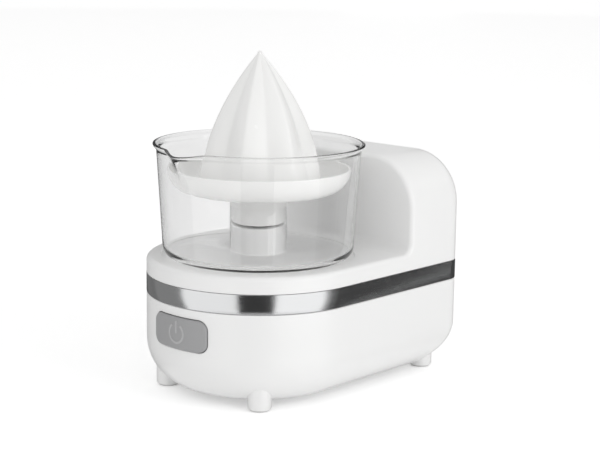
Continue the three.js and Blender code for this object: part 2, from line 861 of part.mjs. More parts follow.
// The core seen from above: a spoke for each pole with a curved shoe at its end.
function coreShape(grow) {
  const hub = armature.hubRadius + grow;
  const shoeInner = armature.radius - armature.tipDepth - grow;
  const halfSpoke = Math.asin((armature.poleWidth / 2 + grow) / shoeInner);
  const halfRoot = Math.asin((armature.poleWidth / 2 + grow) / hub);
  const spread = Math.PI / armature.poles - armature.slit / 2;
  const points = [];
  for (let pole = 0; pole < armature.poles; pole++) {
    const middle = (pole * 2 * Math.PI) / armature.poles;
    points.push(
      polar(hub, middle - halfRoot),
      polar(shoeInner, middle - halfSpoke),
      polar(shoeInner, middle - spread),
      ...arc(0, 0, armature.radius + grow, middle - spread, middle + spread, 3),
      polar(shoeInner, middle + spread),
      polar(shoeInner, middle + halfSpoke),
      polar(hub, middle + halfRoot),
    );
  }
  return new THREE.Shape(points);
}

function armatureCore() {
  const core = upright(coreShape(0), armature.bottom, armature.top, motorPlace);
  return cut(core, rod(motorBore, armature.bottom - over, armature.top + over, motorPlace));
}

function armatureWinding() {
  const outer = armature.radius - armature.tipDepth - gap;
  const coil = rod(outer, winding.bottom, winding.top, motorPlace, facets.shaft);
  const core = upright(coreShape(gap), armature.bottom - gap, armature.top + gap, motorPlace);
  return cut(coil, core, rod(motorBore, winding.bottom - over, winding.top + over, motorPlace));
}

function motorEndCap() {
  const bottom = motor.top + gap;
  const top = bottom + endCap.height;
  const bore = motor.shaftRadius + slack;
  const y = motorPlace[1];
  const cap = tube(bore, motor.radius, bottom, top, motorPlace, facets.shaft);
  const hollow = tube(
    bore + endCap.rim,
    motor.radius - endCap.rim,
    bottom - over,
    top - endCap.skin,
    motorPlace,
    facets.shaft,
  );
  const vents = aroundAxis(4, Math.PI / 4, motorPlace, () => {
    const vent = new THREE.BoxGeometry(endCap.ventLength, endCap.ventWidth, 4 * endCap.skin);
    return vent.translate(endCap.ventRadius, 0, top);
  });
  const reach = commutator.radius + slack + brush.length + gap;
  const holders = [-1, 1].map((side) => {
    const x = [side * reach, side * (reach + brush.holder)].sort((a, b) => a - b);
    const half = brush.width / 2;
    return block(x[0], x[1], y - half, y + half, brush.bottom, top - endCap.skin + bite);
  });
  return join(cut(cap, hollow, ...vents), ...holders);
}

function motorBrush(side) {
  const near = commutator.radius + slack;
  const x = [side * near, side * (near + brush.length)].sort((a, b) => a - b);
  const y = motorPlace[1];
  return block(x[0], x[1], y - brush.width / 2, y + brush.width / 2, brush.bottom, brush.top);
}

function coolingFan() {
  const discTop = fan.bottom + fan.blade;
  const disc = tube(motorBore, fan.radius, fan.bottom, discTop, motorPlace, facets.shaft);
  const hub = tube(motorBore, fan.hubRadius, fan.bottom, fan.bottom + fan.height, motorPlace);
  const length = fan.radius - fan.hubRadius;
  const blades = aroundAxis(fan.blades, 0, motorPlace, () => {
    const blade = new THREE.BoxGeometry(length, fan.blade, fan.height - bite);
    blade.rotateZ(rad(fan.lean));
    return blade.translate(fan.hubRadius + length / 2 - over, 0, fan.bottom + (fan.height + bite) / 2);
  });
  return join(disc, hub, ...blades);
}

// ---- button and switch ------------------------------------------------------------------------

const buttonFace = base.halfWidth + button.proud;
const buttonMiddle = button.bottom + button.height / 2;
const lipOuter = base.halfWidth - base.wall - slack;
const lipInner = lipOuter - buttonCap.lipThickness;
const stemEnd = bracket.front - buttonCap.clear - buttonCap.travel;

const curved = { angle: 8, height: 8 }; // how far the wall runs past the button
const outlineCorner = 0.9; // of half the bar's width

// A wall in front of the spindle's axis that follows the housing's round front.
function curvedWall(inner, outer) {
  const half = rad(button.halfAngle + curved.angle);
  const front = -Math.PI / 2;
  const shape = new THREE.Shape([
    ...arc(0, 0, outer, front - half, front + half, 10),
    ...arc(0, 0, inner, front + half, front - half, 10),
  ]);
  return upright(shape, button.bottom - curved.height, button.bottom + button.height + curved.height);
}

function symbolMarks() {
  const outer = symbol.radius;
  const inner = symbol.radius - symbol.line;
  const opening = rad(symbol.opening);
  const from = Math.PI / 2 + opening;
  const to = 2.5 * Math.PI - opening;
  const ringShape = new THREE.Shape([
    ...arc(0, buttonMiddle, outer, from, to, 12),
    ...arc(0, buttonMiddle, inner, to, from, 12),
  ]);
  const half = symbol.line / 2;
  const barTop = buttonMiddle + symbol.barTop;
  return [ringShape, roundedRectangle(-half, half, buttonMiddle, barTop, half * outlineCorner)];
}

function powerButton() {
  const front = -buttonFace - over;
  const behind = -lipInner + 2 * buttonCap.lipThickness;
  const pad = alongY(buttonShape(0), front, behind).intersect(curvedWall(lipInner, buttonFace));
  const lip = alongY(buttonShape(buttonCap.lip), front, behind);
  const marks = symbolMarks().map((shape) =>
    alongY(shape, front, behind).intersect(
      curvedWall(buttonFace - over, buttonFace + symbol.proud),
    ),
  );
  const half = buttonCap.stemWidth / 2;
  const rise = buttonCap.stemHeight / 2;
  const stemFront = -lipInner - over;
  const stem = block(-half, half, stemFront, stemEnd, buttonMiddle - rise, buttonMiddle + rise);
  return join(pad, lip.intersect(curvedWall(lipInner, lipOuter)), ...marks, stem);
}

function bracketScrewPlaces() {
  const y = bracket.front + bracketFoot.depth - bracketFoot.screwInset;
  return [-1, 1].map((side) => [side * bracketFoot.screwX, y]);
}

function switchBracket() {
  const { front, bottom, top, thickness, halfWidth, footX } = bracket;
  const back = front + thickness;
  const wall = block(-halfWidth, halfWidth, front, back, bottom, top);
  const shelf = block(-footX, footX, front, front + bracketFoot.depth, bottom, bottom + thickness);
  const way = rodAlongY(micro.plungerRadius + slack, front - over, back + over, 0, buttonMiddle);
  const holes = bracketScrewPlaces().map((place) =>
    rod(bracketScrew.radius + gap, bottom - over, bottom + thickness + over, place, facets.hole),
  );
  return cut(join(wall, shelf), way, ...holes);
}

function switchBody() {
  const front = bracket.front + bracket.thickness + gap;
  const half = micro.width / 2;
  const low = buttonMiddle - micro.height / 2;
  const body = block(-half, half, front, front + micro.depth, low, low + micro.height);
  const way = rodAlongY(micro.plungerRadius + slack, front - over, front + micro.way, 0, buttonMiddle);
  const tabFront = front + tab.back;
  const tabs = [-1, 0, 1].map((i) => {
    const x = i * tab.pitch - tab.width / 2;
    const back = tabFront + tab.thickness;
    return block(x, x + tab.width, tabFront, back, low - tab.length, low + over);
  });
  return join(cut(body, way), ...tabs);
}

function switchPlunger() {
  const back = bracket.front + bracket.thickness + gap + micro.way - buttonCap.travel - gap;
  return rodAlongY(micro.plungerRadius, stemEnd + gap, back, 0, buttonMiddle);
}

// ---- board ------------------------------------------------------------------------------------

const boardTop = board.bottom + board.thickness;

function boardCorners() {
  const x = board.halfWidth - board.inset;
  const rows = [board.front + board.inset, board.front + board.length - board.inset];
  return rows.flatMap((y) => [
    [-x, y],
    [x, y],
  ]);
}

function controlBoard() {
  const back = board.front + board.length;
  const sheet = block(-board.halfWidth, board.halfWidth, board.front, back, board.bottom, boardTop);
  const holes = boardCorners().map((place) =>
    rod(stand.hole, board.bottom - over, boardTop + over, place, facets.hole),
  );
  return cut(sheet, ...holes);
}

function terminalBlock() {
  const bottom = boardTop + gap;
  const back = board.front + board.length - gap;
  const half = terminal.length / 2;
  const body = block(-half, half, back - terminal.depth, back, bottom, bottom + terminal.height);
  const wells = [-1, 0, 1].map((i) => {
    const place = [i * terminal.pitch, back - terminal.depth / 2];
    const middle = bottom + terminal.height / 2;
    return rod(terminal.wellRadius, middle, bottom + terminal.height + over, place, facets.hole);
  });
  return cut(body, ...wells);
}

function suppressionCapacitor() {
  const bottom = boardTop + gap;
  const half = capacitor.length / 2;
  const front = board.front + 2 * board.inset;
  const outline = roundedRectangle(-half, half, front, front + capacitor.depth, capacitor.corner);
  return upright(outline, bottom, bottom + capacitor.height);
}

// ---- bowl, strainer and cone ------------------------------------------------------------------

// Angles round the bowl, closer together at the spout.
function bowlAngles() {
  const half = rad(spout.halfAngle + spout.margin);
  const front = -Math.PI / 2;
  const share = (count, from, to) =>
    Array.from({ length: count }, (_, i) => from + ((to - from) * i) / count);
  return [
    ...share(26, front + half, front + 2 * Math.PI - half),
    ...share(10, front - half, front + half),
  ];
}

// How far the wall is pushed out for the spout, as a share of the spout's reach.
function spoutShare(angle, height) {
  const rise = Math.min(1, (height - spout.bottom) / (bowl.rim - spout.bottom));
  if (rise <= 0) {
    return 0;
  }
  const turn = angle + Math.PI / 2;
  const off = Math.abs(Math.atan2(Math.sin(turn), Math.cos(turn)));
  const across = Math.max(0, 1 - off / (rad(spout.halfAngle) * Math.sqrt(rise)));
  return rise ** spout.power * across * across * (3 - 2 * across);
}

// The wall's radius at a height: rounded heel, slight draft, flared rim.
function bowlRadius(height) {
  const heel = bowl.bottom + bowl.heelHeight;
  const flare = bowl.rim - bowl.flareHeight;
  if (height < heel) {
    const drop = (heel - height) / bowl.heelHeight;
    return bowl.footRadius + (bowl.heelRadius - bowl.footRadius) * Math.sqrt(1 - drop * drop);
  }
  const upWall = Math.min(1, (height - heel) / (flare - heel));
  const draft = (bowl.shoulderRadius - bowl.heelRadius) * upWall;
  const rise = Math.min(1, Math.max(0, (height - flare) / (bowl.flareHeight - bowl.lip)));
  return bowl.heelRadius + draft + (bowl.rimRadius - bowl.shoulderRadius) * rise;
}

function bowlRing(height, inward, lift = 0) {
  return bowlAngles().map((angle) => {
    const share = spoutShare(angle, height);
    const out = bowlRadius(height) - inward + spout.reach * share;
    const drop = height > bowl.rim - bowl.flareHeight ? spout.drop * share : 0;
    return new THREE.Vector3(out * Math.cos(angle), out * Math.sin(angle), height - drop + lift);
  });
}

function juiceBowl() {
  const heel = bowl.bottom + bowl.heelHeight;
  const flare = bowl.rim - bowl.flareHeight;
  const spoutHeights = [0, 0.4, 0.7, 1].map((share) => THREE.MathUtils.lerp(spout.bottom, flare, share));
  const upper = [heel, ...spoutHeights, bowl.rim - bowl.lip, bowl.rim];
  const floor = bowl.bottom + bowl.floor;
  const roundTo = (low) => (low + heel) / 2 - bowl.heelHeight / 5;
  const outside = lofted(
    [bowl.bottom, roundTo(bowl.bottom), ...upper].map((height) => bowlRing(height, 0)),
  );
  const inside = lofted([
    ...[floor, roundTo(floor), ...upper].map((height) => bowlRing(height, bowl.wall)),
    bowlRing(bowl.rim, bowl.wall, 2 * spout.drop),
  ]);
  const pipe = rod(chimney.radius, bowl.bottom + over, chimney.top, [0, 0], facets.shaft);
  const boreRadius = chimney.radius - chimney.wall;
  const bore = rod(boreRadius, bowl.bottom - over, chimney.top + over, [0, 0], facets.shaft);
  return cut(join(cut(outside, inside), pipe), bore);
}

const dishBottom = chimney.top + gap;
const dishFloor = dishBottom + strainer.floor;
const dishRim = dishBottom + strainer.height;

function strainerDish() {
  const low = dishBottom - collar.drop;
  const spread = strainer.rimRadius - strainer.floorRadius;
  const side = [0, 1, 2, 3, 4].map((i) => {
    const angle = (i / 4) * (Math.PI / 2);
    return [
      strainer.floorRadius + spread * Math.sin(angle),
      dishBottom + strainer.height * (1 - Math.cos(angle)),
    ];
  });
  const lining = side.slice(1).reverse().map(([radius, height]) => [
    radius - strainer.wall,
    Math.min(dishRim, height + strainer.floor / 3),
  ]);
  const dish = turned([
    [collar.inner, low],
    [collarRadius, low],
    [collarRadius, dishBottom],
    ...side,
    ...lining,
    [strainer.floorRadius - strainer.wall, dishFloor],
    [collar.inner, dishFloor],
    [collar.inner, low],
  ]);
  const length = strainer.slotOuter - strainer.slotInner;
  const slots = aroundAxis(strainer.slots, Math.PI / strainer.slots, [0, 0], () => {
    const slot = new THREE.BoxGeometry(length, strainer.slotWidth, 4 * strainer.floor);
    return slot.translate(strainer.slotInner + length / 2, 0, dishBottom);
  });
  return cut(dish, ...slots);
}

// The cone's tube turns in this bush, which sits on the strainer's hub.
function flangedConeBush() {
  const inner = cone.tubeRadius + slack;
  const outer = collar.inner - gap;
  const flangeRadius = collarRadius + coneBush.flangeReach;
  const seat = dishFloor + gap;
  return turned(
    [
      [inner, seat - coneBush.drop],
      [outer, seat - coneBush.drop],
      [outer, seat],
      [flangeRadius, seat],
      [flangeRadius, seat + coneBush.flange],
      [inner, seat + coneBush.flange],
      [inner, seat - coneBush.drop],
    ],
    facets.shaft,
  );
}

const coneFoot = dishFloor + cone.clearance;
const coneSeat = dishFloor + coneBush.flange + 2 * gap;
const socketTop = dishFloor;
const coneHeight = (share) => coneFoot + share * cone.height;

// The ridges' radius at a share of the cone's height: a parabola up to its point.
const ridge = (share) => cone.footRadius * (1 - share * share);

// Flat faces run from each ridge down to a valley and up to the next ridge.
function flutedRing(share, depth) {
  const perLobe = 4;
  const count = cone.lobes * perLobe;
  return Array.from({ length: count }, (_, i) => {
    const angle = (i / count) * 2 * Math.PI;
    const valley = 1 - Math.abs((i % perLobe) / (perLobe / 2) - 1);
    const out = ridge(Math.min(share, cone.blunt)) * (1 - depth * valley);
    const turn = angle + rad(cone.turn);
    return new THREE.Vector3(out * Math.cos(turn), out * Math.sin(turn), coneHeight(share));
  });
}

function reamerCone() {
  const shares = [0, 0.15, 0.3, 0.45, 0.6, 0.74, 0.86, 0.95, 1];
  const outside = lofted(
    shares.map((share) => flutedRing(share, cone.fluteDepth * Math.min(1, 0.4 + 2 * share))),
  );
  const troughs = 1 - cone.fluteDepth * 1.1;
  const thin = (share) => ridge(share) * troughs - cone.wall;
  const lining = [0.1, 0.25, 0.4, 0.55].map((share) => [thin(share), coneHeight(share)]);
  const hollow = turned(
    [
      [cone.roofRadius, coneFoot - over],
      [thin(0), coneFoot - over],
      ...lining,
      [cone.roofRadius, coneHeight(0.6)],
      [cone.roofRadius, coneFoot - over],
    ],
    facets.large,
  );
  const underRoof = rod(cone.roofRadius + bite, coneFoot - over, coneSeat, [0, 0], facets.shaft);
  const pipe = rod(cone.tubeRadius, cone.tubeBottom, coneSeat + over, [0, 0], facets.shaft);
  const inner = cone.tubeRadius - cone.tubeWall;
  const bore = rod(inner, cone.tubeBottom - over, socketTop + gap, [0, 0], facets.post);
  return cut(join(cut(outside, hollow, underRoof), pipe), bore);
}

function driveSocket() {
  const hole = hexagon(headAcross + 2 * gap, socket.bottom - over, socketTop - socket.roof);
  const outer = (cone.tubeRadius - cone.tubeWall) * Math.cos(Math.PI / facets.post) - gap;
  return cut(rod(outer, socket.bottom, socketTop, [0, 0], facets.post), hole);
}

// ---- the assembly -----------------------------------------------------------------------------

const group = new THREE.Group();

function add(name, made, finish) {
  const mesh = new THREE.Mesh(geometryOf(made), finishes[finish]);
  mesh.name = name;
  group.add(mesh);
}

add("lower_housing", lowerHousing(), "whitePlastic");
add("upper_housing", upperHousing(), "whitePlastic");
add("steel_band", steelBand(), "brushedSteel");
for (const [name, place] of Object.entries(footPlaces)) {
  add(`foot_pad_${name}`, footPad(place), "paleRubber");
  add(`case_screw_${name}`, screw(caseScrew, place, caseScrew.seat - gap), "steel");
}
add("cord_gland", cordGland(), "blackRubber");

add("drive_plate", drivePlate(), "steel");
add("gear_tray", gearTray(), "blackPlastic");
["front_left", "front_right", "rear_left", "rear_right"].forEach((name, i) => {
  add(`gearbox_screw_${name}`, screw(gearboxScrew, postPlaces()[i], tray.bottom - gap), "steel");
});
const axleEnd = tray.bottom - 2 * over;
add("idler_axle", rod(axle.radius, axleEnd, plateTop + over, idlerPlace), "steel");
add("idler_gear", idlerGear(), "gearPlastic");
add("spindle_gear", spindleGear(), "gearPlastic");
add("drive_spindle", driveSpindle(), "steel");
add("retaining_clip", retainingClip(), "steel");
add("lower_bush", flangedLowerBush(), "bronze");
const bushBore = spindle.radius + slack;
add("upper_bush", tube(bushBore, upperBush.radius, upperBush.bottom, upperBush.top), "bronze");
add("shaft_seal", tube(bushBore, seal.radius, upperBush.top + gap, seal.top), "blackRubber");

add("motor_can", motorCan(), "steel");
add("motor_end_cap", motorEndCap(), "blackPlastic");
const shaftEnd = drivePinion.bottom - over;
add("motor_shaft", rod(motor.shaftRadius, shaftEnd, motorShaftTop, motorPlace), "steel");
add("armature_core", armatureCore(), "iron");
add("armature_winding", armatureWinding(), "copper");
add(
  "commutator",
  tube(motorBore, commutator.radius, commutator.bottom, commutator.top, motorPlace),
  "copper",
);
add("cooling_fan", coolingFan(), "blackPlastic");
add("motor_pinion", motorPinion(), "steel");
[-1, 1].forEach((side, i) => {
  const hand = side < 0 ? "left" : "right";
  add(`motor_magnet_${hand}`, motorMagnet(side), "iron");
  add(`motor_brush_${hand}`, motorBrush(side), "iron");
  add(`motor_screw_${hand}`, screw(motorScrew, motorScrewPlaces()[i], plate.bottom - gap), "steel");
  const seat = bracket.bottom + bracket.thickness + gap;
  const place = bracketScrewPlaces()[i];
  add(`bracket_screw_${hand}`, screw(bracketScrew, place, seat, false), "steel");
});

add("button_cap", powerButton(), "greyPlastic");
add("switch_plunger", switchPlunger(), "blackPlastic");
add("switch_bracket", switchBracket(), "blackPlastic");
add("switch_body", switchBody(), "blackPlastic");
add("control_board", controlBoard(), "greenBoard");
add("terminal_block", terminalBlock(), "blackPlastic");
add("suppression_capacitor", suppressionCapacitor(), "copper");

add("juice_bowl", juiceBowl(), "clearPlastic");
add("strainer", strainerDish(), "whitePlastic");
add("reamer_bush", flangedConeBush(), "whitePlastic");
add("reamer_cone", reamerCone(), "whitePlastic");
add("drive_socket", driveSocket(), "steel");

// The box runs from the spout's lip in front to the gland's flange behind.
const frontEnd = -(bowl.rimRadius + spout.reach);
const rearEnd = base.rear + gap + gland.flange;
group.position.set(0, -(frontEnd + rearEnd) / 2, 0);

export default group;
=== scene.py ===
# Citrus press: smooth shells, clear bowl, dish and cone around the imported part, in a white studio.
import json
from math import asin, cos, pi, radians, sin, sqrt

import bmesh
import bpy
from mathutils import Matrix, Vector


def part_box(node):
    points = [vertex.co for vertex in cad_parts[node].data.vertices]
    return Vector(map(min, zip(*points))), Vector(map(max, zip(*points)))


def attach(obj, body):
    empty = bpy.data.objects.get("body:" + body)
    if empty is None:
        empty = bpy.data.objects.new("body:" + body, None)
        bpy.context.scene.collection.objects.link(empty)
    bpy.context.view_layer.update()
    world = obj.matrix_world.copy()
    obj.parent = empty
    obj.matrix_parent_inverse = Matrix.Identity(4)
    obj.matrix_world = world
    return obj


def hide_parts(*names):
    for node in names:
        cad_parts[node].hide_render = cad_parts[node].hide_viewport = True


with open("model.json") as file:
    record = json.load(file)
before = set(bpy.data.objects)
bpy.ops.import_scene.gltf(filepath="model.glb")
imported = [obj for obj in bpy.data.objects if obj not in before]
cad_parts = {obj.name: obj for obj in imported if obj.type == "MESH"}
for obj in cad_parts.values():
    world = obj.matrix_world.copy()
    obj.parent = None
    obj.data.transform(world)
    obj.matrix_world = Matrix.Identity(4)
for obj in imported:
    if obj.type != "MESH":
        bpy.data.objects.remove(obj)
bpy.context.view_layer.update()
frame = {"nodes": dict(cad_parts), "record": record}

mm = 0.001
gap = 0.3  # between neighbouring pieces
sensorWidth = 36
scene = bpy.context.scene
scene.view_settings.view_transform = "Standard"

lowerLo, lowerHi = (Vector(c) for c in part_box("lower_housing"))
halfWidth = lowerHi.x / mm
axisY = lowerLo.y + lowerHi.x  # the front is a half circle about the spindle
rearY = (lowerHi.y - axisY) / mm


def heights(node):
    low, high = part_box(node)
    return low[2] / mm, high[2] / mm


# ---- camera ----

cameraView = dict(azimuth=41.975, elevation=11.041, roll=0.754, distance=1163.2,
                  aside=28.83, height=114.47, lens=100.53)


def placeCamera(v):
    a, e, r = (radians(v[key]) for key in ("azimuth", "elevation", "roll"))
    right = Vector((cos(a), sin(a), 0))
    back = Vector((sin(a) * cos(e), -cos(a) * cos(e), sin(e)))
    up = back.cross(right)
    across = right * cos(r) + up * sin(r)
    above = up * cos(r) - right * sin(r)
    aim = Vector((0, axisY, v["height"] * mm)) + right * v["aside"] * mm
    data = bpy.data.cameras.new("camera")
    data.lens = v["lens"]
    data.sensor_width = sensorWidth
    data.clip_end = 20
    camera = bpy.data.objects.new("camera", data)
    camera.matrix_world = (
        Matrix.Translation(aim + back * v["distance"] * mm)
        @ Matrix((across, above, back)).transposed().to_4x4()
    )
    scene.collection.objects.link(camera)
    scene.camera = camera


placeCamera(cameraView)
print("camera placed")


# ---- shader groups ----

def addNode(tree, kind, inputs=None, **settings):
    node = tree.nodes.new(kind)
    for key, value in settings.items():
        setattr(node, key, value)
    for key, value in (inputs or {}).items():
        node.inputs[key].default_value = value
    return node


def newGroup(name, sockets, outputs):
    tree = bpy.data.node_groups.new(name, "ShaderNodeTree")
    for label, kind, value in sockets:
        made = tree.interface.new_socket(label, in_out="INPUT", socket_type=kind)
        made.default_value = value
    for label, kind in outputs:
        tree.interface.new_socket(label, in_out="OUTPUT", socket_type=kind)
    return tree, addNode(tree, "NodeGroupInput"), addNode(tree, "NodeGroupOutput")


def makeMouldedSkin():
    # the fine spark-eroded grain of a moulding, with slow changes in gloss and tone
    tree, into, out = newGroup(
        "mouldedSkin",
        [("Grain Scale", "NodeSocketFloat", 2600.0), ("Gloss", "NodeSocketFloat", 0.3),
         ("Gloss Change", "NodeSocketFloat", 0.06), ("Tone", "NodeSocketColor", (0.8, 0.8, 0.8, 1)),
         ("Tone Change", "NodeSocketFloat", 0.02)],
        [("Color", "NodeSocketColor"), ("Roughness", "NodeSocketFloat"), ("Height", "NodeSocketFloat")])
    link = tree.links.new
    place = addNode(tree, "ShaderNodeTexCoord")
    grain = addNode(tree, "ShaderNodeTexNoise", {"Detail": 3.0, "Roughness": 0.6})
    slow = addNode(tree, "ShaderNodeTexNoise", {"Scale": 18.0, "Detail": 4.0, "Roughness": 0.55})
    specks = addNode(tree, "ShaderNodeTexVoronoi", {"Scale": 900.0, "Randomness": 1.0})
    link(place.outputs["Object"], grain.inputs["Vector"])
    link(place.outputs["Object"], slow.inputs["Vector"])
    link(place.outputs["Object"], specks.inputs["Vector"])
    link(into.outputs["Grain Scale"], grain.inputs["Scale"])
    centred = addNode(tree, "ShaderNodeMath", {1: 0.5}, operation="SUBTRACT")
    link(slow.outputs["Fac"], centred.inputs[0])
    gloss = addNode(tree, "ShaderNodeMath", operation="MULTIPLY_ADD")
    link(centred.outputs[0], gloss.inputs[0])
    link(into.outputs["Gloss Change"], gloss.inputs[1])
    link(into.outputs["Gloss"], gloss.inputs[2])
    link(gloss.outputs[0], out.inputs["Roughness"])
    tone = addNode(tree, "ShaderNodeMath", {2: 1.0}, operation="MULTIPLY_ADD")
    link(centred.outputs[0], tone.inputs[0])
    link(into.outputs["Tone Change"], tone.inputs[1])
    shade = addNode(tree, "ShaderNodeVectorMath", operation="SCALE")
    link(into.outputs["Tone"], shade.inputs[0])
    link(tone.outputs[0], shade.inputs["Scale"])
    link(shade.outputs[0], out.inputs["Color"])
    mixed = addNode(tree, "ShaderNodeMath", {1: 0.25}, operation="MULTIPLY_ADD")
    link(specks.outputs["Distance"], mixed.inputs[0])
    link(grain.outputs["Fac"], mixed.inputs[2])
    link(mixed.outputs[0], out.inputs["Height"])
    return tree


def makeBrushedSkin():
    # fine lines left by a brush; Stretch sets which way they run
    tree, into, out = newGroup(
        "brushedSkin",
        [("Stretch", "NodeSocketVector", (3.0, 3.0, 900.0)), ("Gloss", "NodeSocketFloat", 0.3),
         ("Gloss Change", "NodeSocketFloat", 0.2), ("Tone", "NodeSocketColor", (0.6, 0.6, 0.6, 1)),
         ("Tone Change", "NodeSocketFloat", 0.12)],
        [("Color", "NodeSocketColor"), ("Roughness", "NodeSocketFloat"), ("Height", "NodeSocketFloat")])
    link = tree.links.new
    place = addNode(tree, "ShaderNodeTexCoord")
    stretch = addNode(tree, "ShaderNodeVectorMath", operation="MULTIPLY")
    lines = addNode(tree, "ShaderNodeTexNoise", {"Scale": 1.0, "Detail": 6.0, "Roughness": 0.7})
    stains = addNode(tree, "ShaderNodeTexNoise", {"Scale": 60.0, "Detail": 3.0})
    link(place.outputs["Object"], stretch.inputs[0])
    link(into.outputs["Stretch"], stretch.inputs[1])
    link(stretch.outputs[0], lines.inputs["Vector"])
    link(place.outputs["Object"], stains.inputs["Vector"])
    both = addNode(tree, "ShaderNodeMath", {1: 0.25}, operation="MULTIPLY_ADD")
    link(stains.outputs["Fac"], both.inputs[0])
    link(lines.outputs["Fac"], both.inputs[2])
    centred = addNode(tree, "ShaderNodeMath", {1: 0.62}, operation="SUBTRACT")
    link(both.outputs[0], centred.inputs[0])
    gloss = addNode(tree, "ShaderNodeMath", operation="MULTIPLY_ADD", use_clamp=True)
    link(centred.outputs[0], gloss.inputs[0])
    link(into.outputs["Gloss Change"], gloss.inputs[1])
    link(into.outputs["Gloss"], gloss.inputs[2])
    link(gloss.outputs[0], out.inputs["Roughness"])
    tone = addNode(tree, "ShaderNodeMath", {2: 1.0}, operation="MULTIPLY_ADD")
    link(centred.outputs[0], tone.inputs[0])
    link(into.outputs["Tone Change"], tone.inputs[1])
    shade = addNode(tree, "ShaderNodeVectorMath", operation="SCALE")
    link(into.outputs["Tone"], shade.inputs[0])
    link(tone.outputs[0], shade.inputs["Scale"])
    link(shade.outputs[0], out.inputs["Color"])
    link(lines.outputs["Fac"], out.inputs["Height"])
    return tree


mouldedSkin = makeMouldedSkin()
brushedSkin = makeBrushedSkin()


# ---- materials ----

def newMaterial(name, skin, values, bump, shader=None):
    material = bpy.data.materials.new(name)
    material.use_nodes = True
    tree = material.node_tree
    principled = tree.nodes["Principled BSDF"]
    for key, value in (shader or {}).items():
        principled.inputs[key].default_value = value
    effect = addNode(tree, "ShaderNodeGroup", node_tree=skin)
    for key, value in values.items():
        effect.inputs[key].default_value = value
    relief = addNode(tree, "ShaderNodeBump", {"Strength": bump, "Distance": 0.0001})
    link = tree.links.new
    link(effect.outputs["Color"], principled.inputs["Base Color"])
    link(effect.outputs["Roughness"], principled.inputs["Roughness"])
    link(effect.outputs["Height"], relief.inputs["Height"])
    link(relief.outputs["Normal"], principled.inputs["Normal"])
    return material


def moulded(name, tone, gloss, bump=0.06, grain=2600.0, shader=None, glossChange=0.08, toneChange=0.03):
    values = {"Tone": (*tone, 1), "Gloss": gloss, "Grain Scale": grain,
              "Gloss Change": glossChange, "Tone Change": toneChange}
    return newMaterial(name, mouldedSkin, values, bump, shader)


def metal(name, tone, gloss, stretch=(40.0, 40.0, 900.0), bump=0.1, glossChange=0.2):
    values = {"Tone": (*tone, 1), "Gloss": gloss, "Stretch": stretch, "Gloss Change": glossChange}
    return newMaterial(name, brushedSkin, values, bump, {"Metallic": 1.0})


# the edge values set a grey shade painted into the clear plastic's colour where its wall is seen edge on
passing = dict(share=0.94, bends=2.5, edgeBlend=0.35, edgePower=4.0,
               openTint=(1, 1, 1, 1), paintedEdgeShade=(0.5, 0.52, 0.53, 1))


def letLightThrough(material, p):
    # shadow and bounced light, and light already bent by three faces, passes almost freely
    tree = material.node_tree
    link = tree.links.new
    principled = tree.nodes["Principled BSDF"]
    path = addNode(tree, "ShaderNodeLightPath")
    bounced = addNode(tree, "ShaderNodeMath", operation="MAXIMUM")
    deep = addNode(tree, "ShaderNodeMath", {1: p["bends"]}, operation="GREATER_THAN")
    free = addNode(tree, "ShaderNodeMath", operation="MAXIMUM")
    solid = addNode(tree, "ShaderNodeMath", {1: -p["share"], 2: 1.0}, operation="MULTIPLY_ADD")
    link(path.outputs["Is Shadow Ray"], bounced.inputs[0])
    link(path.outputs["Is Diffuse Ray"], bounced.inputs[1])
    link(path.outputs["Transmission Depth"], deep.inputs[0])
    link(bounced.outputs[0], free.inputs[0])
    link(deep.outputs[0], free.inputs[1])
    link(free.outputs[0], solid.inputs[0])
    link(solid.outputs[0], principled.inputs["Alpha"])
    # painted shade: a fine grey line painted into the colour where the wall is seen edge on, standing in for
    # the dark edges that bent and mirrored light gives a clear wall; 6 and 7 are the mix's two colours
    edge = addNode(tree, "ShaderNodeLayerWeight", {"Blend": p["edgeBlend"]})
    dim = addNode(tree, "ShaderNodeMath", {1: p["edgePower"]}, operation="POWER")
    paintedShade = addNode(tree, "ShaderNodeMix", {6: p["openTint"], 7: p["paintedEdgeShade"]}, data_type="RGBA")
    link(edge.outputs["Facing"], dim.inputs[0])
    link(dim.outputs[0], paintedShade.inputs[0])
    link(paintedShade.outputs[2], principled.inputs["Base Color"])


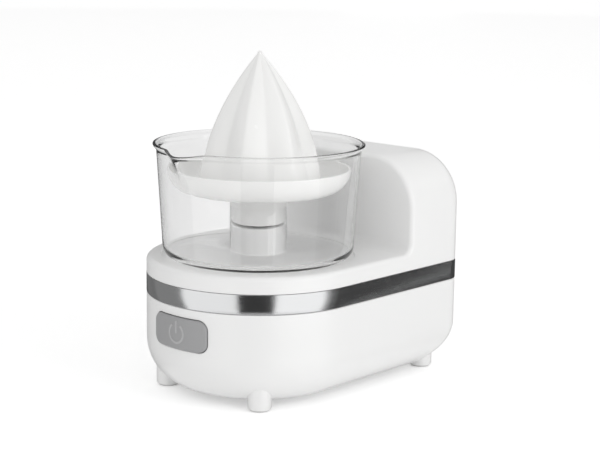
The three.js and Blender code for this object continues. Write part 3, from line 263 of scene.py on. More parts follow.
whiteShell = moulded("whiteShell", (0.87, 0.87, 0.866), 0.3, shader={"IOR": 1.5})
whiteFood = moulded("whiteFood", (0.88, 0.88, 0.87), 0.26, bump=0.03, grain=1800.0)
clearPlastic = moulded("clearPlastic", (0.985, 0.99, 0.99), 0.015, bump=0.004, grain=120.0,
                       glossChange=0.02, toneChange=0.004,
                       shader={"Transmission Weight": 1.0, "IOR": 1.49})
letLightThrough(clearPlastic, passing)
bandSteel = metal("bandSteel", (0.66, 0.665, 0.67), 0.15, stretch=(4.0, 4.0, 1400.0), bump=0.3,
                  glossChange=0.35)
buttonGrey = moulded("buttonGrey", (0.345, 0.345, 0.35), 0.42, bump=0.08)
# painted light: the raised power mark is the button's own plastic, made a lighter grey to stand in for the
# light it catches
markPaintedLightGrey = moulded("markPaintedLightGrey", (0.45, 0.45, 0.455), 0.4, bump=0.05)
padRubber = moulded("padRubber", (0.68, 0.68, 0.67), 0.6, bump=0.2, grain=1500.0)
bySlot = {
    "white_plastic": whiteShell,
    "strainer_plastic": whiteFood,
    "clear_plastic": clearPlastic,
    "brushed_steel": bandSteel,
    "button_plastic": buttonGrey,
    "foot_rubber": padRubber,
    "steel": metal("turnedSteel", (0.56, 0.57, 0.58), 0.28),
    "bronze": metal("sinteredBronze", (0.62, 0.42, 0.2), 0.42, stretch=(900.0, 900.0, 900.0)),
    "copper": metal("woundCopper", (0.72, 0.34, 0.18), 0.34, stretch=(60.0, 60.0, 2400.0), bump=0.5),
    "core_iron": metal("stackedIron", (0.2, 0.2, 0.21), 0.5, stretch=(4.0, 4.0, 3000.0), bump=0.6),
    "magnet": moulded("ferrite", (0.045, 0.045, 0.05), 0.5, bump=0.3, grain=1200.0),
    "black_rubber": moulded("blackRubber", (0.02, 0.02, 0.021), 0.55, bump=0.25, grain=1500.0),
    "black_plastic": moulded("blackMoulding", (0.03, 0.03, 0.032), 0.42, bump=0.12),
    "gear_plastic": moulded("acetal", (0.78, 0.75, 0.64), 0.34, shader={"Subsurface Weight": 0.05}),
    "board": moulded("boardLacquer", (0.03, 0.17, 0.07), 0.3, bump=0.15, grain=700.0),
    "capacitor_case": moulded("capacitorCase", (0.72, 0.5, 0.08), 0.3),
}
slots = {s["node"]: s["material_slot"] for s in frame["record"]["subparts"]}
for node, obj in frame["nodes"].items():
    finish = bySlot[slots[node]]
    for spare in obj.material_slots:
        spare.material = finish
    if not obj.material_slots:
        obj.data.materials.append(finish)
print("materials made")


# ---- modelling helpers: millimetres about the spindle's axis ----

weld = 0.0005


def ringEdges(verts):
    return list({edge for v in verts for edge in v.link_edges})


def bridgeRings(bm, rings):
    # each ring is a list of vertices in one closed loop
    for lower, upper in zip(rings, rings[1:]):
        bmesh.ops.bridge_loops(bm, edges=ringLoop(lower) + ringLoop(upper))


def ringLoop(verts):
    inside = set(verts)
    return [e for e in ringEdges(verts) if e.verts[0] in inside and e.verts[1] in inside]


def closeRing(bm, verts):
    bmesh.ops.contextual_create(bm, geom=ringLoop(verts))


def toMesh(name, bm, sharp=32, turnOut=True):
    bmesh.ops.remove_doubles(bm, verts=bm.verts, dist=weld)
    if turnOut:
        bmesh.ops.recalc_face_normals(bm, faces=bm.faces)
    bmesh.ops.scale(bm, verts=bm.verts, vec=(mm, mm, mm))
    bmesh.ops.translate(bm, verts=bm.verts, vec=(0, axisY, 0))
    mesh = bpy.data.meshes.new(name)
    bm.to_mesh(mesh)
    bm.free()
    obj = bpy.data.objects.new(name, mesh)
    scene.collection.objects.link(obj)
    smooth(obj, sharp)
    return obj


def smooth(obj, sharp=32):
    obj.data.shade_smooth()
    obj.data.set_sharp_from_angle(angle=radians(sharp))


def combine(obj, others, how):
    # joins or cuts with whole objects, and keeps only the result
    for other in others:
        step = obj.modifiers.new("combine", "BOOLEAN")
        step.operation = how
        step.solver = "EXACT"
        step.object = other
    bpy.context.view_layer.update()
    made = bpy.data.meshes.new_from_object(obj.evaluated_get(bpy.context.evaluated_depsgraph_get()))
    obj.modifiers.clear()
    obj.data = made
    for other in others:
        bpy.data.objects.remove(other)
    return obj


def settle(obj, body, material, replaced=()):
    obj.data.materials.clear()
    obj.data.materials.append(material)
    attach(obj, body)
    if replaced:
        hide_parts(*replaced)
    return obj


def turned(bm, corners, axis, steps, closed=True):
    # turns an outline once round the axis; an open one starts and ends on it
    points = [bm.verts.new(corner) for corner in corners]
    ends = points[1:] + points[:1] if closed else points[1:]
    edges = [bm.edges.new(pair) for pair in zip(points, ends)]
    bmesh.ops.spin(bm, geom=points + edges, cent=(0, 0, 0), axis=axis, angle=2 * pi,
                   steps=steps, use_merge=True)


def spun(name, outline, steps=128, sharp=32, deform=None):
    # turns a closed outline of (radius, height) points about the upright axis
    bm = bmesh.new()
    turned(bm, [(r, 0, z) for r, z in outline], (0, 0, 1), steps)
    bmesh.ops.remove_doubles(bm, verts=bm.verts, dist=weld)
    bmesh.ops.recalc_face_normals(bm, faces=bm.faces)
    if deform:
        for v in bm.verts:
            deform(v)
    return toMesh(name, bm, sharp, turnOut=False)


def flatRing(bm, radius, z, steps):
    ring = bmesh.ops.create_circle(bm, segments=steps, radius=radius)["verts"]
    for v in ring:
        v.co.z = z
    return ring


def rounded(points, steps=5):
    # softens the corners of an outline: each point is (r, z) or (r, z, radius)
    soft = []
    count = len(points)
    for i, point in enumerate(points):
        here = Vector(point[:2])
        if len(point) < 3:
            soft.append(tuple(here))
            continue
        before = Vector(points[i - 1][:2]) - here
        after = Vector(points[(i + 1) % count][:2]) - here
        turn = before.angle(after)
        back = min(point[2] / abs(sin(turn / 2)) * cos(turn / 2), before.length * 0.49,
                   after.length * 0.49)
        start = here + before.normalized() * back
        end = here + after.normalized() * back
        for k in range(steps + 1):
            t = k / steps
            soft.append(tuple(start * (1 - t) ** 2 + here * 2 * t * (1 - t) + end * t * t))
    return soft


def rodAlongY(name, radius, low, high, height, steps=48):
    bm = bmesh.new()
    bmesh.ops.create_cone(bm, cap_ends=True, segments=steps, radius1=radius, radius2=radius,
                          depth=high - low)
    bmesh.ops.rotate(bm, verts=bm.verts, matrix=Matrix.Rotation(pi / 2, 3, "X"))
    bmesh.ops.translate(bm, verts=bm.verts, vec=(0, (low + high) / 2, height))
    return toMesh(name, bm)


def boxBetween(name, low, high):
    bm = bmesh.new()
    bmesh.ops.create_cube(bm, size=1)
    size = Vector(high) - Vector(low)
    bmesh.ops.scale(bm, verts=bm.verts, vec=size)
    bmesh.ops.translate(bm, verts=bm.verts, vec=(Vector(high) + Vector(low)) / 2)
    return toMesh(name, bm)


# ---- lower housing ----

base = dict(corner=16.0, wall=3.0, bellyBottom=4.0, bellyHeight=33.0, bellyInset=30.0,
            cornerGrowth=0.35, lip=0.5, tongueInset=1.3, tongueTop=84.2, glandWay=6.3)
foot = dict(radius=8.2, bottom=1.0, top=26.0, edge=1.2, padRadius=7.0, padTop=2.0, padEdge=0.6,
            plugRadius=2.8, plugHeight=5.0, recess=2.3, screwWay=3.4, wayBottom=2.0, wayTop=66.0,
            bossRadius=5.2, bossBottom=6.0, bossTop=79.0, upperBossTop=92.5,
            pilotRadius=2.1, pilotBottom=78.0, pilotTop=90.0)
floorSlot = dict(count=6, half=13.0, width=2.6, pitch=7.0, middle=31.3, height=6.0, reach=4.0)
bandLow, bandHigh = heights("steel_band")


def roundedBox(x, y, half, rise, corner):
    # carries a point of the unit circle to a rounded rectangle's edge
    stretch = max(abs(x), abs(y))
    flat = Vector((x / stretch * half, y / stretch * rise))
    inner = Vector((max(corner - half, min(half - corner, flat.x)),
                    max(corner - rise, min(rise - corner, flat.y))))
    away = flat - inner
    return inner + away.normalized() * corner if away.length > 1e-6 else flat


def baseRing(bm, inset, z, corner=None, segments=160):
    # the base's outline: round in front, straight sides, two rounded rear corners
    half, rear = halfWidth - inset, rearY - inset
    radius = base["corner"] - inset if corner is None else corner
    ring = bmesh.ops.create_circle(bm, segments=segments, radius=1)["verts"]
    for v in ring:
        x, y = v.co.x, v.co.y
        if y < 1e-5:
            v.co = (half * x, half * y, z)
        else:
            side = 1 if x > 1e-5 else -1 if x < -1e-5 else 0
            v.co = (side * (half - radius) + radius * x, rear - radius + radius * y, z)
    return ring


def bellyRings(bm, inward, steps=18):
    centre = base["bellyBottom"] + base["bellyHeight"]
    rings = []
    for i in range(steps + 1):
        angle = pi / 2 * (1 - i / steps)
        inset = base["bellyInset"] - (base["bellyInset"] - inward) * cos(angle)
        z = centre - (base["bellyHeight"] - inward) * sin(angle)
        corner = base["corner"] - inward + base["cornerGrowth"] * (inset - inward)
        rings.append(baseRing(bm, inset, z, corner))
    return rings


def solidOfRings(name, make):
    bm = bmesh.new()
    rings = make(bm)
    bridgeRings(bm, rings)
    closeRing(bm, rings[0])
    closeRing(bm, rings[-1])
    return toMesh(name, bm)


def footSpots():
    spots = []
    for corner in ("front_left", "front_right", "rear_left", "rear_right"):
        low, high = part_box("foot_pad_" + corner)
        spots.append((corner, (low[0] + high[0]) / 2 / mm, ((low[1] + high[1]) / 2 - axisY) / mm))
    return spots


button = dict(gap=0.45, bottom=40.4, height=21.7, halfAngle=18.0, corner=6.5, proud=1.7, edge=1.1,
              lip=2.0, lipFront=-3.35, lipBack=-5.35, stemHalf=4.0, stemRise=3.0)
buttonHalf = halfWidth * sin(radians(button["halfAngle"]))
buttonMiddle = button["bottom"] + button["height"] / 2


def placeButtonRing(ring, grow, depth):
    # the button's outline laid flat: X is the way round, Y the depth, Z up
    # past the rounded edge it narrows to a line along the middle
    squeeze = max(0, -grow - button["edge"])
    grow = max(grow, -button["edge"])
    half, rise = buttonHalf + grow, button["height"] / 2 + grow
    corner = button["corner"] + grow
    for v in ring:
        point = roundedBox(v.co.x, v.co.y, half, rise, corner)
        across = max(squeeze - half, min(half - squeeze, point.x))
        v.co = (across, -depth, buttonMiddle + point.y * (1 - squeeze / rise))


def wrapAll(bm):
    # lays the flat button on the housing's front, its sides straight along the way it is pressed
    for v in bm.verts:
        v.co.y -= sqrt(halfWidth ** 2 - v.co.x ** 2)


def wrapped(name, steps):
    # steps: how far the outline grows and how deep it lies, from the back to the face
    bm = bmesh.new()
    rings = [flatRing(bm, 1, i, 128) for i in range(len(steps))]
    bridgeRings(bm, rings)
    for ring, (grow, depth) in zip(rings, steps):
        placeButtonRing(ring, grow, depth)
    wrapAll(bm)
    return toMesh(name, bm)


def acrossFace(depth, inward=True):
    # rings that run in from the outline to a line along its middle
    flat = button["height"] / 2 - button["edge"]
    rings = [(-button["edge"] - share * flat, depth) for share in (0.12, 0.3, 0.5, 0.75, 1.0)]
    return rings if inward else rings[::-1]


def windowCutter():
    # a straight way through the wall that opens out a little at the face
    grow, soft, inside, outside = button["gap"], 0.5, -8, 3
    way = [(grow, inside), (grow, inside / 2), (grow, -soft), (grow + 0.14, -0.14), (grow + soft, 0.1),
           (grow + soft, outside)]
    return wrapped("windowCutter", acrossFace(inside, False) + way + acrossFace(outside))


def uprightPosts(rows, steps=48):
    # several upright rods in one mesh: each row is radius, low, high, x, y, edge
    bm = bmesh.new()
    for radius, low, high, x, y, edge in rows:
        outline = [(radius, low), (radius, high)]
        if edge:
            outline[:1] = [(radius - edge, low), (radius - edge * 0.3, low + edge * 0.3),
                           (radius, low + edge)]
        rings = [flatRing(bm, r, z, steps) for r, z in outline]
        for ring in rings:
            bmesh.ops.translate(bm, verts=ring, vec=(x, y, 0))
        bridgeRings(bm, rings)
        closeRing(bm, rings[0])
        closeRing(bm, rings[-1])
    return toMesh("posts", bm)


def footPosts(radius, low, high, edge=0, steps=48):
    return uprightPosts([(radius, low, high, x, y, edge) for corner, x, y in footSpots()], steps)


def slotThrough(bm, half, rise, place, steps=32):
    # a rounded slot; place carries a flat point and a side of the wall to its spot
    rings = []
    for side in (-1, 1):
        ring = bmesh.ops.create_circle(bm, segments=steps, radius=1)["verts"]
        for v in ring:
            v.co = place(roundedBox(v.co.x, v.co.y, half, rise, rise * 0.98), side)
        rings.append(ring)
    bridgeRings(bm, rings)
    closeRing(bm, rings[0])
    closeRing(bm, rings[-1])


def floorSlots():
    s = floorSlot
    bm = bmesh.new()
    for i in range(s["count"]):
        y = s["middle"] + (i - (s["count"] - 1) / 2) * s["pitch"]
        slotThrough(bm, s["half"], s["width"] / 2,
                    lambda flat, side: (flat.x, y + flat.y, s["height"] + side * s["reach"]))
    return toMesh("floorSlots", bm)


def lowerShell():
    wall, inset, lip, lipTop = base["wall"], base["tongueInset"], base["lip"], bandLow - gap
    outer = solidOfRings("lowerShell", lambda bm: bellyRings(bm, 0) + [
        baseRing(bm, 0, 50), baseRing(bm, 0, 60), baseRing(bm, 0, lipTop - lip),
        baseRing(bm, lip * 0.3, lipTop - lip * 0.3), baseRing(bm, lip, lipTop),
        baseRing(bm, inset, lipTop), baseRing(bm, inset, base["tongueTop"])])
    feet = footPosts(foot["radius"], foot["bottom"], foot["top"], foot["edge"])
    shell = combine(outer, [feet], "UNION")
    inner = solidOfRings("inner", lambda bm: bellyRings(bm, wall) + [
        baseRing(bm, wall, 60), baseRing(bm, wall, 90)])
    shell = combine(shell, [inner], "DIFFERENCE")
    bosses = footPosts(foot["bossRadius"], foot["bossBottom"], foot["bossTop"], steps=32)
    shell = combine(shell, [bosses], "UNION")
    glandLow, glandHigh = heights("cord_gland")
    gland = (glandLow + glandHigh) / 2
    shell = combine(shell, [
        windowCutter(),
        footPosts(foot["padRadius"] + gap, 0, foot["recess"]),
        footPosts(foot["screwWay"], foot["wayBottom"], foot["wayTop"], steps=32),
        rodAlongY("glandWay", base["glandWay"], rearY - 6, rearY + 2, gland),
        floorSlots(),
    ], "DIFFERENCE")
    smooth(shell)
    return settle(shell, "base", whiteShell, ["lower_housing"])


lowerShell()
print("lower housing made")


# ---- upper housing: deck and column in one moulding ----

upper = dict(skirt=82.7, deck=94.2, top=160.4, front=74.2, arch=37.0, hollow=7.0, edge=3.6,
             rearEdge=16.0, wall=3.0, innerEdge=1.5, seatRadius=67.1, seatDepth=1.0, towerRadius=13.0,
             towerTop=113.5, towerFlange=2.5, bushRadius=7.3, bushBottom=96.7, shaftWay=5.35)
rearVent = dict(count=5, half=23.0, rise=1.2, pitch=7.0, lowest=107.2, reach=6.0)


def sideSlab(inset, low):
    # the side view of deck and column, carried right across
    deck, top = upper["deck"] - inset, upper["top"] - inset
    front, rear = upper["front"] + inset, rearY - inset
    hollow = upper["hollow"] + inset
    reach = halfWidth + 2
    outline = [(-reach, low), (-reach, deck), (front - hollow, deck)]
    for i in range(1, 12):
        angle = pi / 2 * i / 12
        outline.append((front - hollow + hollow * sin(angle), deck + hollow * (1 - cos(angle))))
    outline += [(front, deck + hollow), (front, top), (rear, top), (rear, low)]
    return carried("slab", [(-reach, y, z) for y, z in outline], (2 * reach, 0, 0))


def carried(name, corners, way):
    # a flat outline carried along one way into a solid
    bm = bmesh.new()
    face = bm.faces.new([bm.verts.new(corner) for corner in corners])
    moved = bmesh.ops.extrude_face_region(bm, geom=[face])["geom"]
    bmesh.ops.translate(bm, verts=[v for v in moved if isinstance(v, bmesh.types.BMVert)], vec=way)
    return toMesh(name, bm)


def planPrism(inset, low, high):
    # the front's half circle run straight back past the rear wall
    half = halfWidth - inset
    corners = [(half * cos(pi + pi * i / 96), half * sin(pi + pi * i / 96), low) for i in range(97)]
    corners += [(half, rearY + 1, low), (-half, rearY + 1, low)]
    return carried("plan", corners, (0, 0, high - low))


def archPrism(inset, low):
    # the column as seen from the front, carried from front to rear
    half, top, radius = halfWidth - inset, upper["top"] - inset, upper["arch"] - inset
    outline = [(-half, low)]
    for centre, start in ((radius - half, pi), (half - radius, pi / 2)):
        for i in range(25):
            angle = start - pi / 2 * i / 24
            outline.append((centre + radius * cos(angle), top - radius + radius * sin(angle)))
    outline.append((half, low))
    return carried("arch", [(x, -halfWidth - 4, z) for x, z in outline],
                   (0, halfWidth + rearY + 8, 0))


def bevelWhere(obj, test, low, size, segments):
    # rounds the sharp edges whose two ends pass the test, never the ones round the open bottom
    bm = bmesh.new()
    bm.from_mesh(obj.data)
    bmesh.ops.remove_doubles(bm, verts=bm.verts, dist=weld * mm)
    bmesh.ops.dissolve_limit(bm, angle_limit=radians(0.05), verts=bm.verts, edges=bm.edges,
                             use_dissolve_boundaries=False, delimit=set())
    chosen = []
    for edge in bm.edges:
        if len(edge.link_faces) == 2 and edge.calc_face_angle(0) > radians(30):
            ends = [(v.co - Vector((0, axisY, 0))) / mm for v in edge.verts]
            if all(test(end) for end in ends) and any(end.z > low + 0.01 for end in ends):
                chosen.append(edge)
    bmesh.ops.bevel(bm, geom=chosen, offset=size * mm, offset_type="OFFSET", affect="EDGES",
                    segments=segments, profile=0.5, material=-1, clamp_overlap=False)
    bm.to_mesh(obj.data)
    bm.free()


def upperBody(inset, edge, rearEdge):
    low = upper["skirt"] - (1 if inset else 0)
    body = combine(sideSlab(inset, low), [planPrism(inset, low - 5, 200), archPrism(inset, low - 5)],
                   "INTERSECT")
    rear = rearY - inset
    bevelWhere(body, lambda p: p.y > rear - 0.01, low, rearEdge, 12)
    bevelWhere(body, lambda p: p.y < upper["front"] + inset + 0.01 and p.z > low + 1, low, edge, 8)
    return body


def rearVents():
    v = rearVent
    bm = bmesh.new()
    for i in range(v["count"]):
        z = v["lowest"] + i * v["pitch"]
        slotThrough(bm, v["half"], v["rise"],
                    lambda flat, side: (flat.x, rearY + side * v["reach"], z + flat.y))
    return toMesh("rearVents", bm)


def upperShell():
    u = upper
    deck, seat, tower = u["deck"], u["seatRadius"], u["towerRadius"]
    shell = upperBody(0, u["edge"], u["rearEdge"])
    shell.name = "upperShell"
    inner = upperBody(u["wall"], u["innerEdge"], u["rearEdge"] - u["wall"])
    shell = combine(shell, [inner], "DIFFERENCE")
    bowlSeat = spun("bowlSeat", rounded([(0, deck - u["seatDepth"]), (seat, deck - u["seatDepth"], 0.4),
                                         (seat + 0.6, deck + 1), (0, deck + 1)]), steps=160)
    shell = combine(shell, [bowlSeat], "DIFFERENCE")
    flange = tower + u["towerFlange"]
    spindleTower = spun("spindleTower", rounded([
        (0, deck - 4), (flange, deck - 4), (flange, deck - 1), (tower, deck + 1, 1.5),
        (tower, u["towerTop"], 1.2), (0, u["towerTop"])]), steps=64)
    bosses = footPosts(foot["bossRadius"], foot["bossTop"] + gap, foot["upperBossTop"], steps=32)
    shell = combine(shell, [spindleTower, bosses], "UNION")
    shell = combine(shell, [
        uprightPosts([(u["bushRadius"], u["bushBottom"], u["towerTop"] + 6.5, 0, 0, 0),
                      (u["shaftWay"], deck - 9.2, u["bushBottom"] + 0.8, 0, 0, 0)]),
        footPosts(foot["pilotRadius"], foot["pilotBottom"], foot["pilotTop"], steps=24),
        rearVents(),
    ], "DIFFERENCE")
    smooth(shell)
    return settle(shell, "base", whiteShell, ["upper_housing"])


upperShell()
print("upper housing made")


# ---- steel band ----

band = dict(proud=0.1, thick=0.9, soft=0.25)


def steelBand():
    out, soft = -band["proud"], band["soft"]
    back = out + band["thick"]
    places = [(back, bandLow), (out + soft, bandLow), (out + soft * 0.3, bandLow + soft * 0.3),
              (out, bandLow + soft), (out, bandHigh - soft), (out + soft * 0.3, bandHigh - soft * 0.3),
              (out + soft, bandHigh), (back, bandHigh)]
    bm = bmesh.new()
    rings = [baseRing(bm, inset, z, segments=256) for inset, z in places]
    bridgeRings(bm, rings + [rings[0]])
    return settle(toMesh("bandStrip", bm), "base", bandSteel, ["steel_band"])


steelBand()
print("band made")


# ---- button ----

mark = dict(radius=7.2, line=1.5, barTop=8.6, opening=34.0, proud=0.25, root=0.6, soft=0.12, crown=0.3)


def pad():
    p = button
    edge = []
    for i in range(6):
        angle = pi / 2 * i / 5
        edge.append((-p["edge"] * (1 - cos(angle)), p["proud"] - p["edge"] * (1 - sin(angle))))
    flange = [(p["lip"], p["lipBack"]), (p["lip"], p["lipFront"]), (0, p["lipFront"])]
    cap = wrapped("buttonPad", acrossFace(p["lipBack"], False) + flange + edge + acrossFace(p["proud"]))
    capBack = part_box("button_cap")[1].y / mm - axisY / mm
    stem = boxBetween("stem", (-p["stemHalf"], -halfWidth - p["lipBack"] - 1, buttonMiddle - p["stemRise"]),
                      (p["stemHalf"], capBack, buttonMiddle + p["stemRise"]))
    settle(stem, "button", buttonGrey)
    return settle(cap, "button", buttonGrey, ["button_cap"])


def lineEdges(points, width):
    # the two edges of a line of a given width through the points
    left, right = [], []
    for i, point in enumerate(points):
        before = points[max(i - 1, 0)]
        after = points[min(i + 1, len(points) - 1)]
        way = (Vector(after) - Vector(before)).normalized() * width / 2
        left.append((point[0] - way.y, point[1] + way.x))
        right.append((point[0] + way.y, point[1] - way.x))
    return left, right


def powerMark():
    start, end = 90 + mark["opening"], 450 - mark["opening"]
    middle = mark["radius"] - mark["line"] / 2
    ringPoints = [(middle * cos(radians(start + (end - start) * i / 40)),
                   middle * sin(radians(start + (end - start) * i / 40))) for i in range(41)]
    barPoints = [(0, mark["barTop"] * i / 6) for i in range(7)]
    bm = bmesh.new()
    for points in (ringPoints, barPoints):
        loops = []
        face = button["proud"] + mark["proud"]
        for width, depth in ((mark["line"], button["proud"] - mark["root"]),
                             (mark["line"], face - mark["soft"]), (mark["line"] - mark["crown"], face)):
            left, right = lineEdges(points, width)
            loops.append([[bm.verts.new((x, -depth, buttonMiddle + z)) for x, z in side]
                          for side in (left, right)])
        for i in range(len(points) - 1):
            for k in range(2):
                for side in range(2):
                    a, b = loops[k][side], loops[k + 1][side]
                    bm.faces.new((a[i], a[i + 1], b[i + 1], b[i]))
            for k in (0, 2):
                left, right = loops[k]
                bm.faces.new((left[i], left[i + 1], right[i + 1], right[i]))
        for end in (0, len(points) - 1):
            around = [loops[k][0][end] for k in range(3)] + [loops[k][1][end] for k in (2, 1, 0)]
            bm.faces.new(around)
    wrapAll(bm)
    # the mark's lighter grey is painted light on the button's own plastic
    return settle(toMesh("buttonMark", bm), "button", markPaintedLightGrey)


pad()
powerMark()
print("button made")


# ---- clear bowl ----

bowl = dict(bottom=93.5, rim=172.2, wall=2.3, floor=2.6, footRadius=60.0, heelRadius=66.5, heelHeight=8.0,
            shoulderRadius=70.6, rimRadius=73.1, flare=5.0, lip=1.0, bead=0.7)
chimney = dict(radius=20.0, wall=2.4, top=138.2)
spout = dict(halfAngle=18.0, reach=7.7, drop=2.0, bottom=145.0, power=1.3)


def spoutShare(x, y, z):
    rise = min(1, (z - spout["bottom"]) / (bowl["rim"] - spout["bottom"]))
    if rise <= 0 or y >= 0:
        return 0
    off = abs(asin(x / sqrt(x * x + y * y)))
    across = max(0, 1 - off / (radians(spout["halfAngle"]) * sqrt(rise)))
    return rise ** spout["power"] * across * across * (3 - 2 * across)


def pushSpout(v):
    x, y, z = v.co
    share = spoutShare(x, y, z)
    if share > 0 and sqrt(x * x + y * y) > 40:
        out = spout["reach"] * share / sqrt(x * x + y * y)
        drop = share * spout["drop"] * max(0, min(1, (z - bowl["rim"] + bowl["flare"]) / bowl["flare"]))
        v.co = (x * (1 + out), y * (1 + out), z - drop)


def wallRadius(z, low, inward):
    heel = bowl["bottom"] + bowl["heelHeight"]
    flare = bowl["rim"] - bowl["flare"]
    if z < heel:
        drop = (heel - z) / (heel - low)
        swell = sqrt(max(0, 1 - drop ** 2))
        return bowl["footRadius"] + (bowl["heelRadius"] - bowl["footRadius"]) * swell - inward
    draft = (bowl["shoulderRadius"] - bowl["heelRadius"]) * min(1, (z - heel) / (flare - heel))
    rise = min(1, max(0, (z - flare) / (bowl["flare"] - bowl["lip"])))
    rise = rise * rise * (3 - 2 * rise)
    return bowl["heelRadius"] + draft + (bowl["rimRadius"] - bowl["shoulderRadius"]) * rise - inward


def wallHeights(low):
    # the heel's curve, then closer steps where the spout begins and at the flare
    heel = bowl["bottom"] + bowl["heelHeight"]
    lip, flare = spout["bottom"], bowl["rim"] - bowl["flare"]
    up = [heel - (heel - low) * cos(pi / 2 * i / 8) for i in range(9)]
    up += [heel + (lip - heel) * i / 6 for i in range(1, 7)]
    up += [lip + (flare - lip) * i / 10 for i in range(1, 11)]
    return up + [flare + i for i in (1, 2, 3, 4)]


def clearBowl():
    b, c = bowl, chimney
    bottom, floor, top = b["bottom"], b["bottom"] + b["floor"], c["top"]
    foot, half = b["footRadius"], b["wall"] / 2
    outer, bore, soft = c["radius"], c["radius"] - c["wall"], 0.5
    outline = [(bore + 0.6, bottom), (foot - 2.5, bottom), (foot - 1.5, bottom)]
    outline += [(wallRadius(z, bottom, 0), z) for z in wallHeights(bottom)]
    crown = b["rim"] - b["bead"]
    for i in range(1, 8):
        angle = pi * i / 8
        outline.append((b["rimRadius"] - half + half * cos(angle), crown + b["bead"] * sin(angle)))
    outline += [(wallRadius(z, floor, b["wall"]), z) for z in reversed(wallHeights(floor))]
    outline += [(foot - b["wall"] - 2, floor), (outer + 1.5, floor), (outer + 0.5, floor + 0.4),
                (outer, floor + 1.5), (outer, top - soft), (outer - soft, top), (bore + soft, top),
                (bore, top - soft), (bore, bottom + 0.6)]
    made = spun("clearBowl", outline, steps=240, sharp=50, deform=pushSpout)
    return settle(made, "bowl", clearPlastic, ["juice_bowl"])


clearBowl()
print("bowl made")


# ---- strainer ----

dish = dict(bottom=138.5, floor=2.0, wall=1.8, floorRadius=47.0, rimRadius=63.5, height=16.9,
            collarRadius=17.2, collarInner=15.7, collarDrop=11.0, slots=24, slotHalf=13.0, slotMiddle=37.0,
            slotRise=1.1, slotReach=5.0)


def dishSide(i, inward, lift):
    # the side's quarter curve from the floor out to the rim, in twenty steps
    d = dish
    angle = pi / 2 * i / 20
    return (d["floorRadius"] + (d["rimRadius"] - d["floorRadius"]) * sin(angle) - inward,
            min(d["bottom"] + d["height"], d["bottom"] + d["height"] * (1 - cos(angle)) + lift))


def dishSlots():
    d = dish
    middle = d["bottom"] + d["floor"] / 2
    bm = bmesh.new()
    for i in range(d["slots"]):
        turn = Matrix.Rotation(2 * pi * (i + 0.5) / d["slots"], 3, "Z")
        slotThrough(bm, d["slotHalf"], d["slotRise"], lambda flat, side: turn @ Vector(
            (d["slotMiddle"] + flat.x, flat.y, middle + side * d["slotReach"])), steps=20)
    return toMesh("dishSlots", bm)


def strainerDish():
    d = dish
    bottom, wall, outer = d["bottom"], d["wall"], d["rimRadius"]
    low, floor, rim = bottom - d["collarDrop"], bottom + d["floor"], bottom + d["height"]
    outline = rounded([(d["collarInner"], low, 0.4), (d["collarRadius"], low, 0.4),
                       (d["collarRadius"], bottom, 1.0), (d["floorRadius"] - 6, bottom)])
    outline += [dishSide(i, 0, 0) for i in range(20)]
    outline += rounded([dishSide(19, 0, 0), (outer, rim, 0.8), (outer - wall, rim, 0.8),
                        (outer - wall, rim - 2)])[1:-1]
    outline += [dishSide(i, wall, d["floor"] * (1 - i / 20)) for i in range(17, -1, -1)]
    outline += [(d["floorRadius"] - 6, floor), (d["collarInner"], floor)]
    made = spun("strainerDish", outline, steps=192, sharp=35)
    made = combine(made, [dishSlots()], "DIFFERENCE")
    smooth(made, 35)
    return settle(made, "dish", whiteFood, ["strainer"])


strainerDish()
print("strainer made")


# ---- squeezing cone ----

cone = dict(foot=141.1, seat=142.4, height=93.9, footRadius=42.5, footEdge=0.5, wall=2.6, lobes=7,
            flute=0.15, blunt=0.985, ease=0.06, tipFrom=0.93, turn=40.4, roofRadius=17.0, roofStep=0.5,
            roofShare=0.6, tubeRadius=13.4, tubeBottom=115.5, tubeWall=2.6, boreTop=140.8, steps=280)


def coneRing(bm, share, inward=0.0):
    # share runs from the foot to the point; the lobes fade out near the point
    c = cone
    ridge = c["footRadius"] * (1 - share * share)
    depth = c["flute"] * min(1, 0.4 + 2 * share)
    tip = max(0, (share - c["tipFrom"]) / (1 - c["tipFrom"]))
    ring = bmesh.ops.create_circle(bm, segments=c["steps"], radius=1)["verts"]
    for i, v in enumerate(ring):
        angle = 2 * pi * i / c["steps"]
        wave = asin(c["blunt"] * abs(sin(c["lobes"] * angle / 2))) / asin(c["blunt"])
        wave = sqrt(wave * wave + c["ease"] ** 2) - c["ease"]
        out = (ridge - inward) * (1 - depth * wave * (1 - tip))
        turn = angle + radians(c["turn"])
        v.co = (out * cos(turn), out * sin(turn), c["foot"] + share * c["height"])
    return ring


def roundPoint(bm, top):
    # the blunt end above the last lobed ring
    high, last = cone["foot"] + cone["height"], top
    for i in range(1, 5):
        angle = pi / 2 * i / 5
        ring = flatRing(bm, 1, high, cone["steps"])
        for v, below in zip(ring, top):
            flat = below.co.xy * cos(angle)
            v.co = (flat.x, flat.y, below.co.z + (high - below.co.z) * sin(angle))
        bridgeRings(bm, [last, ring])
        last = ring
    closeRing(bm, last)


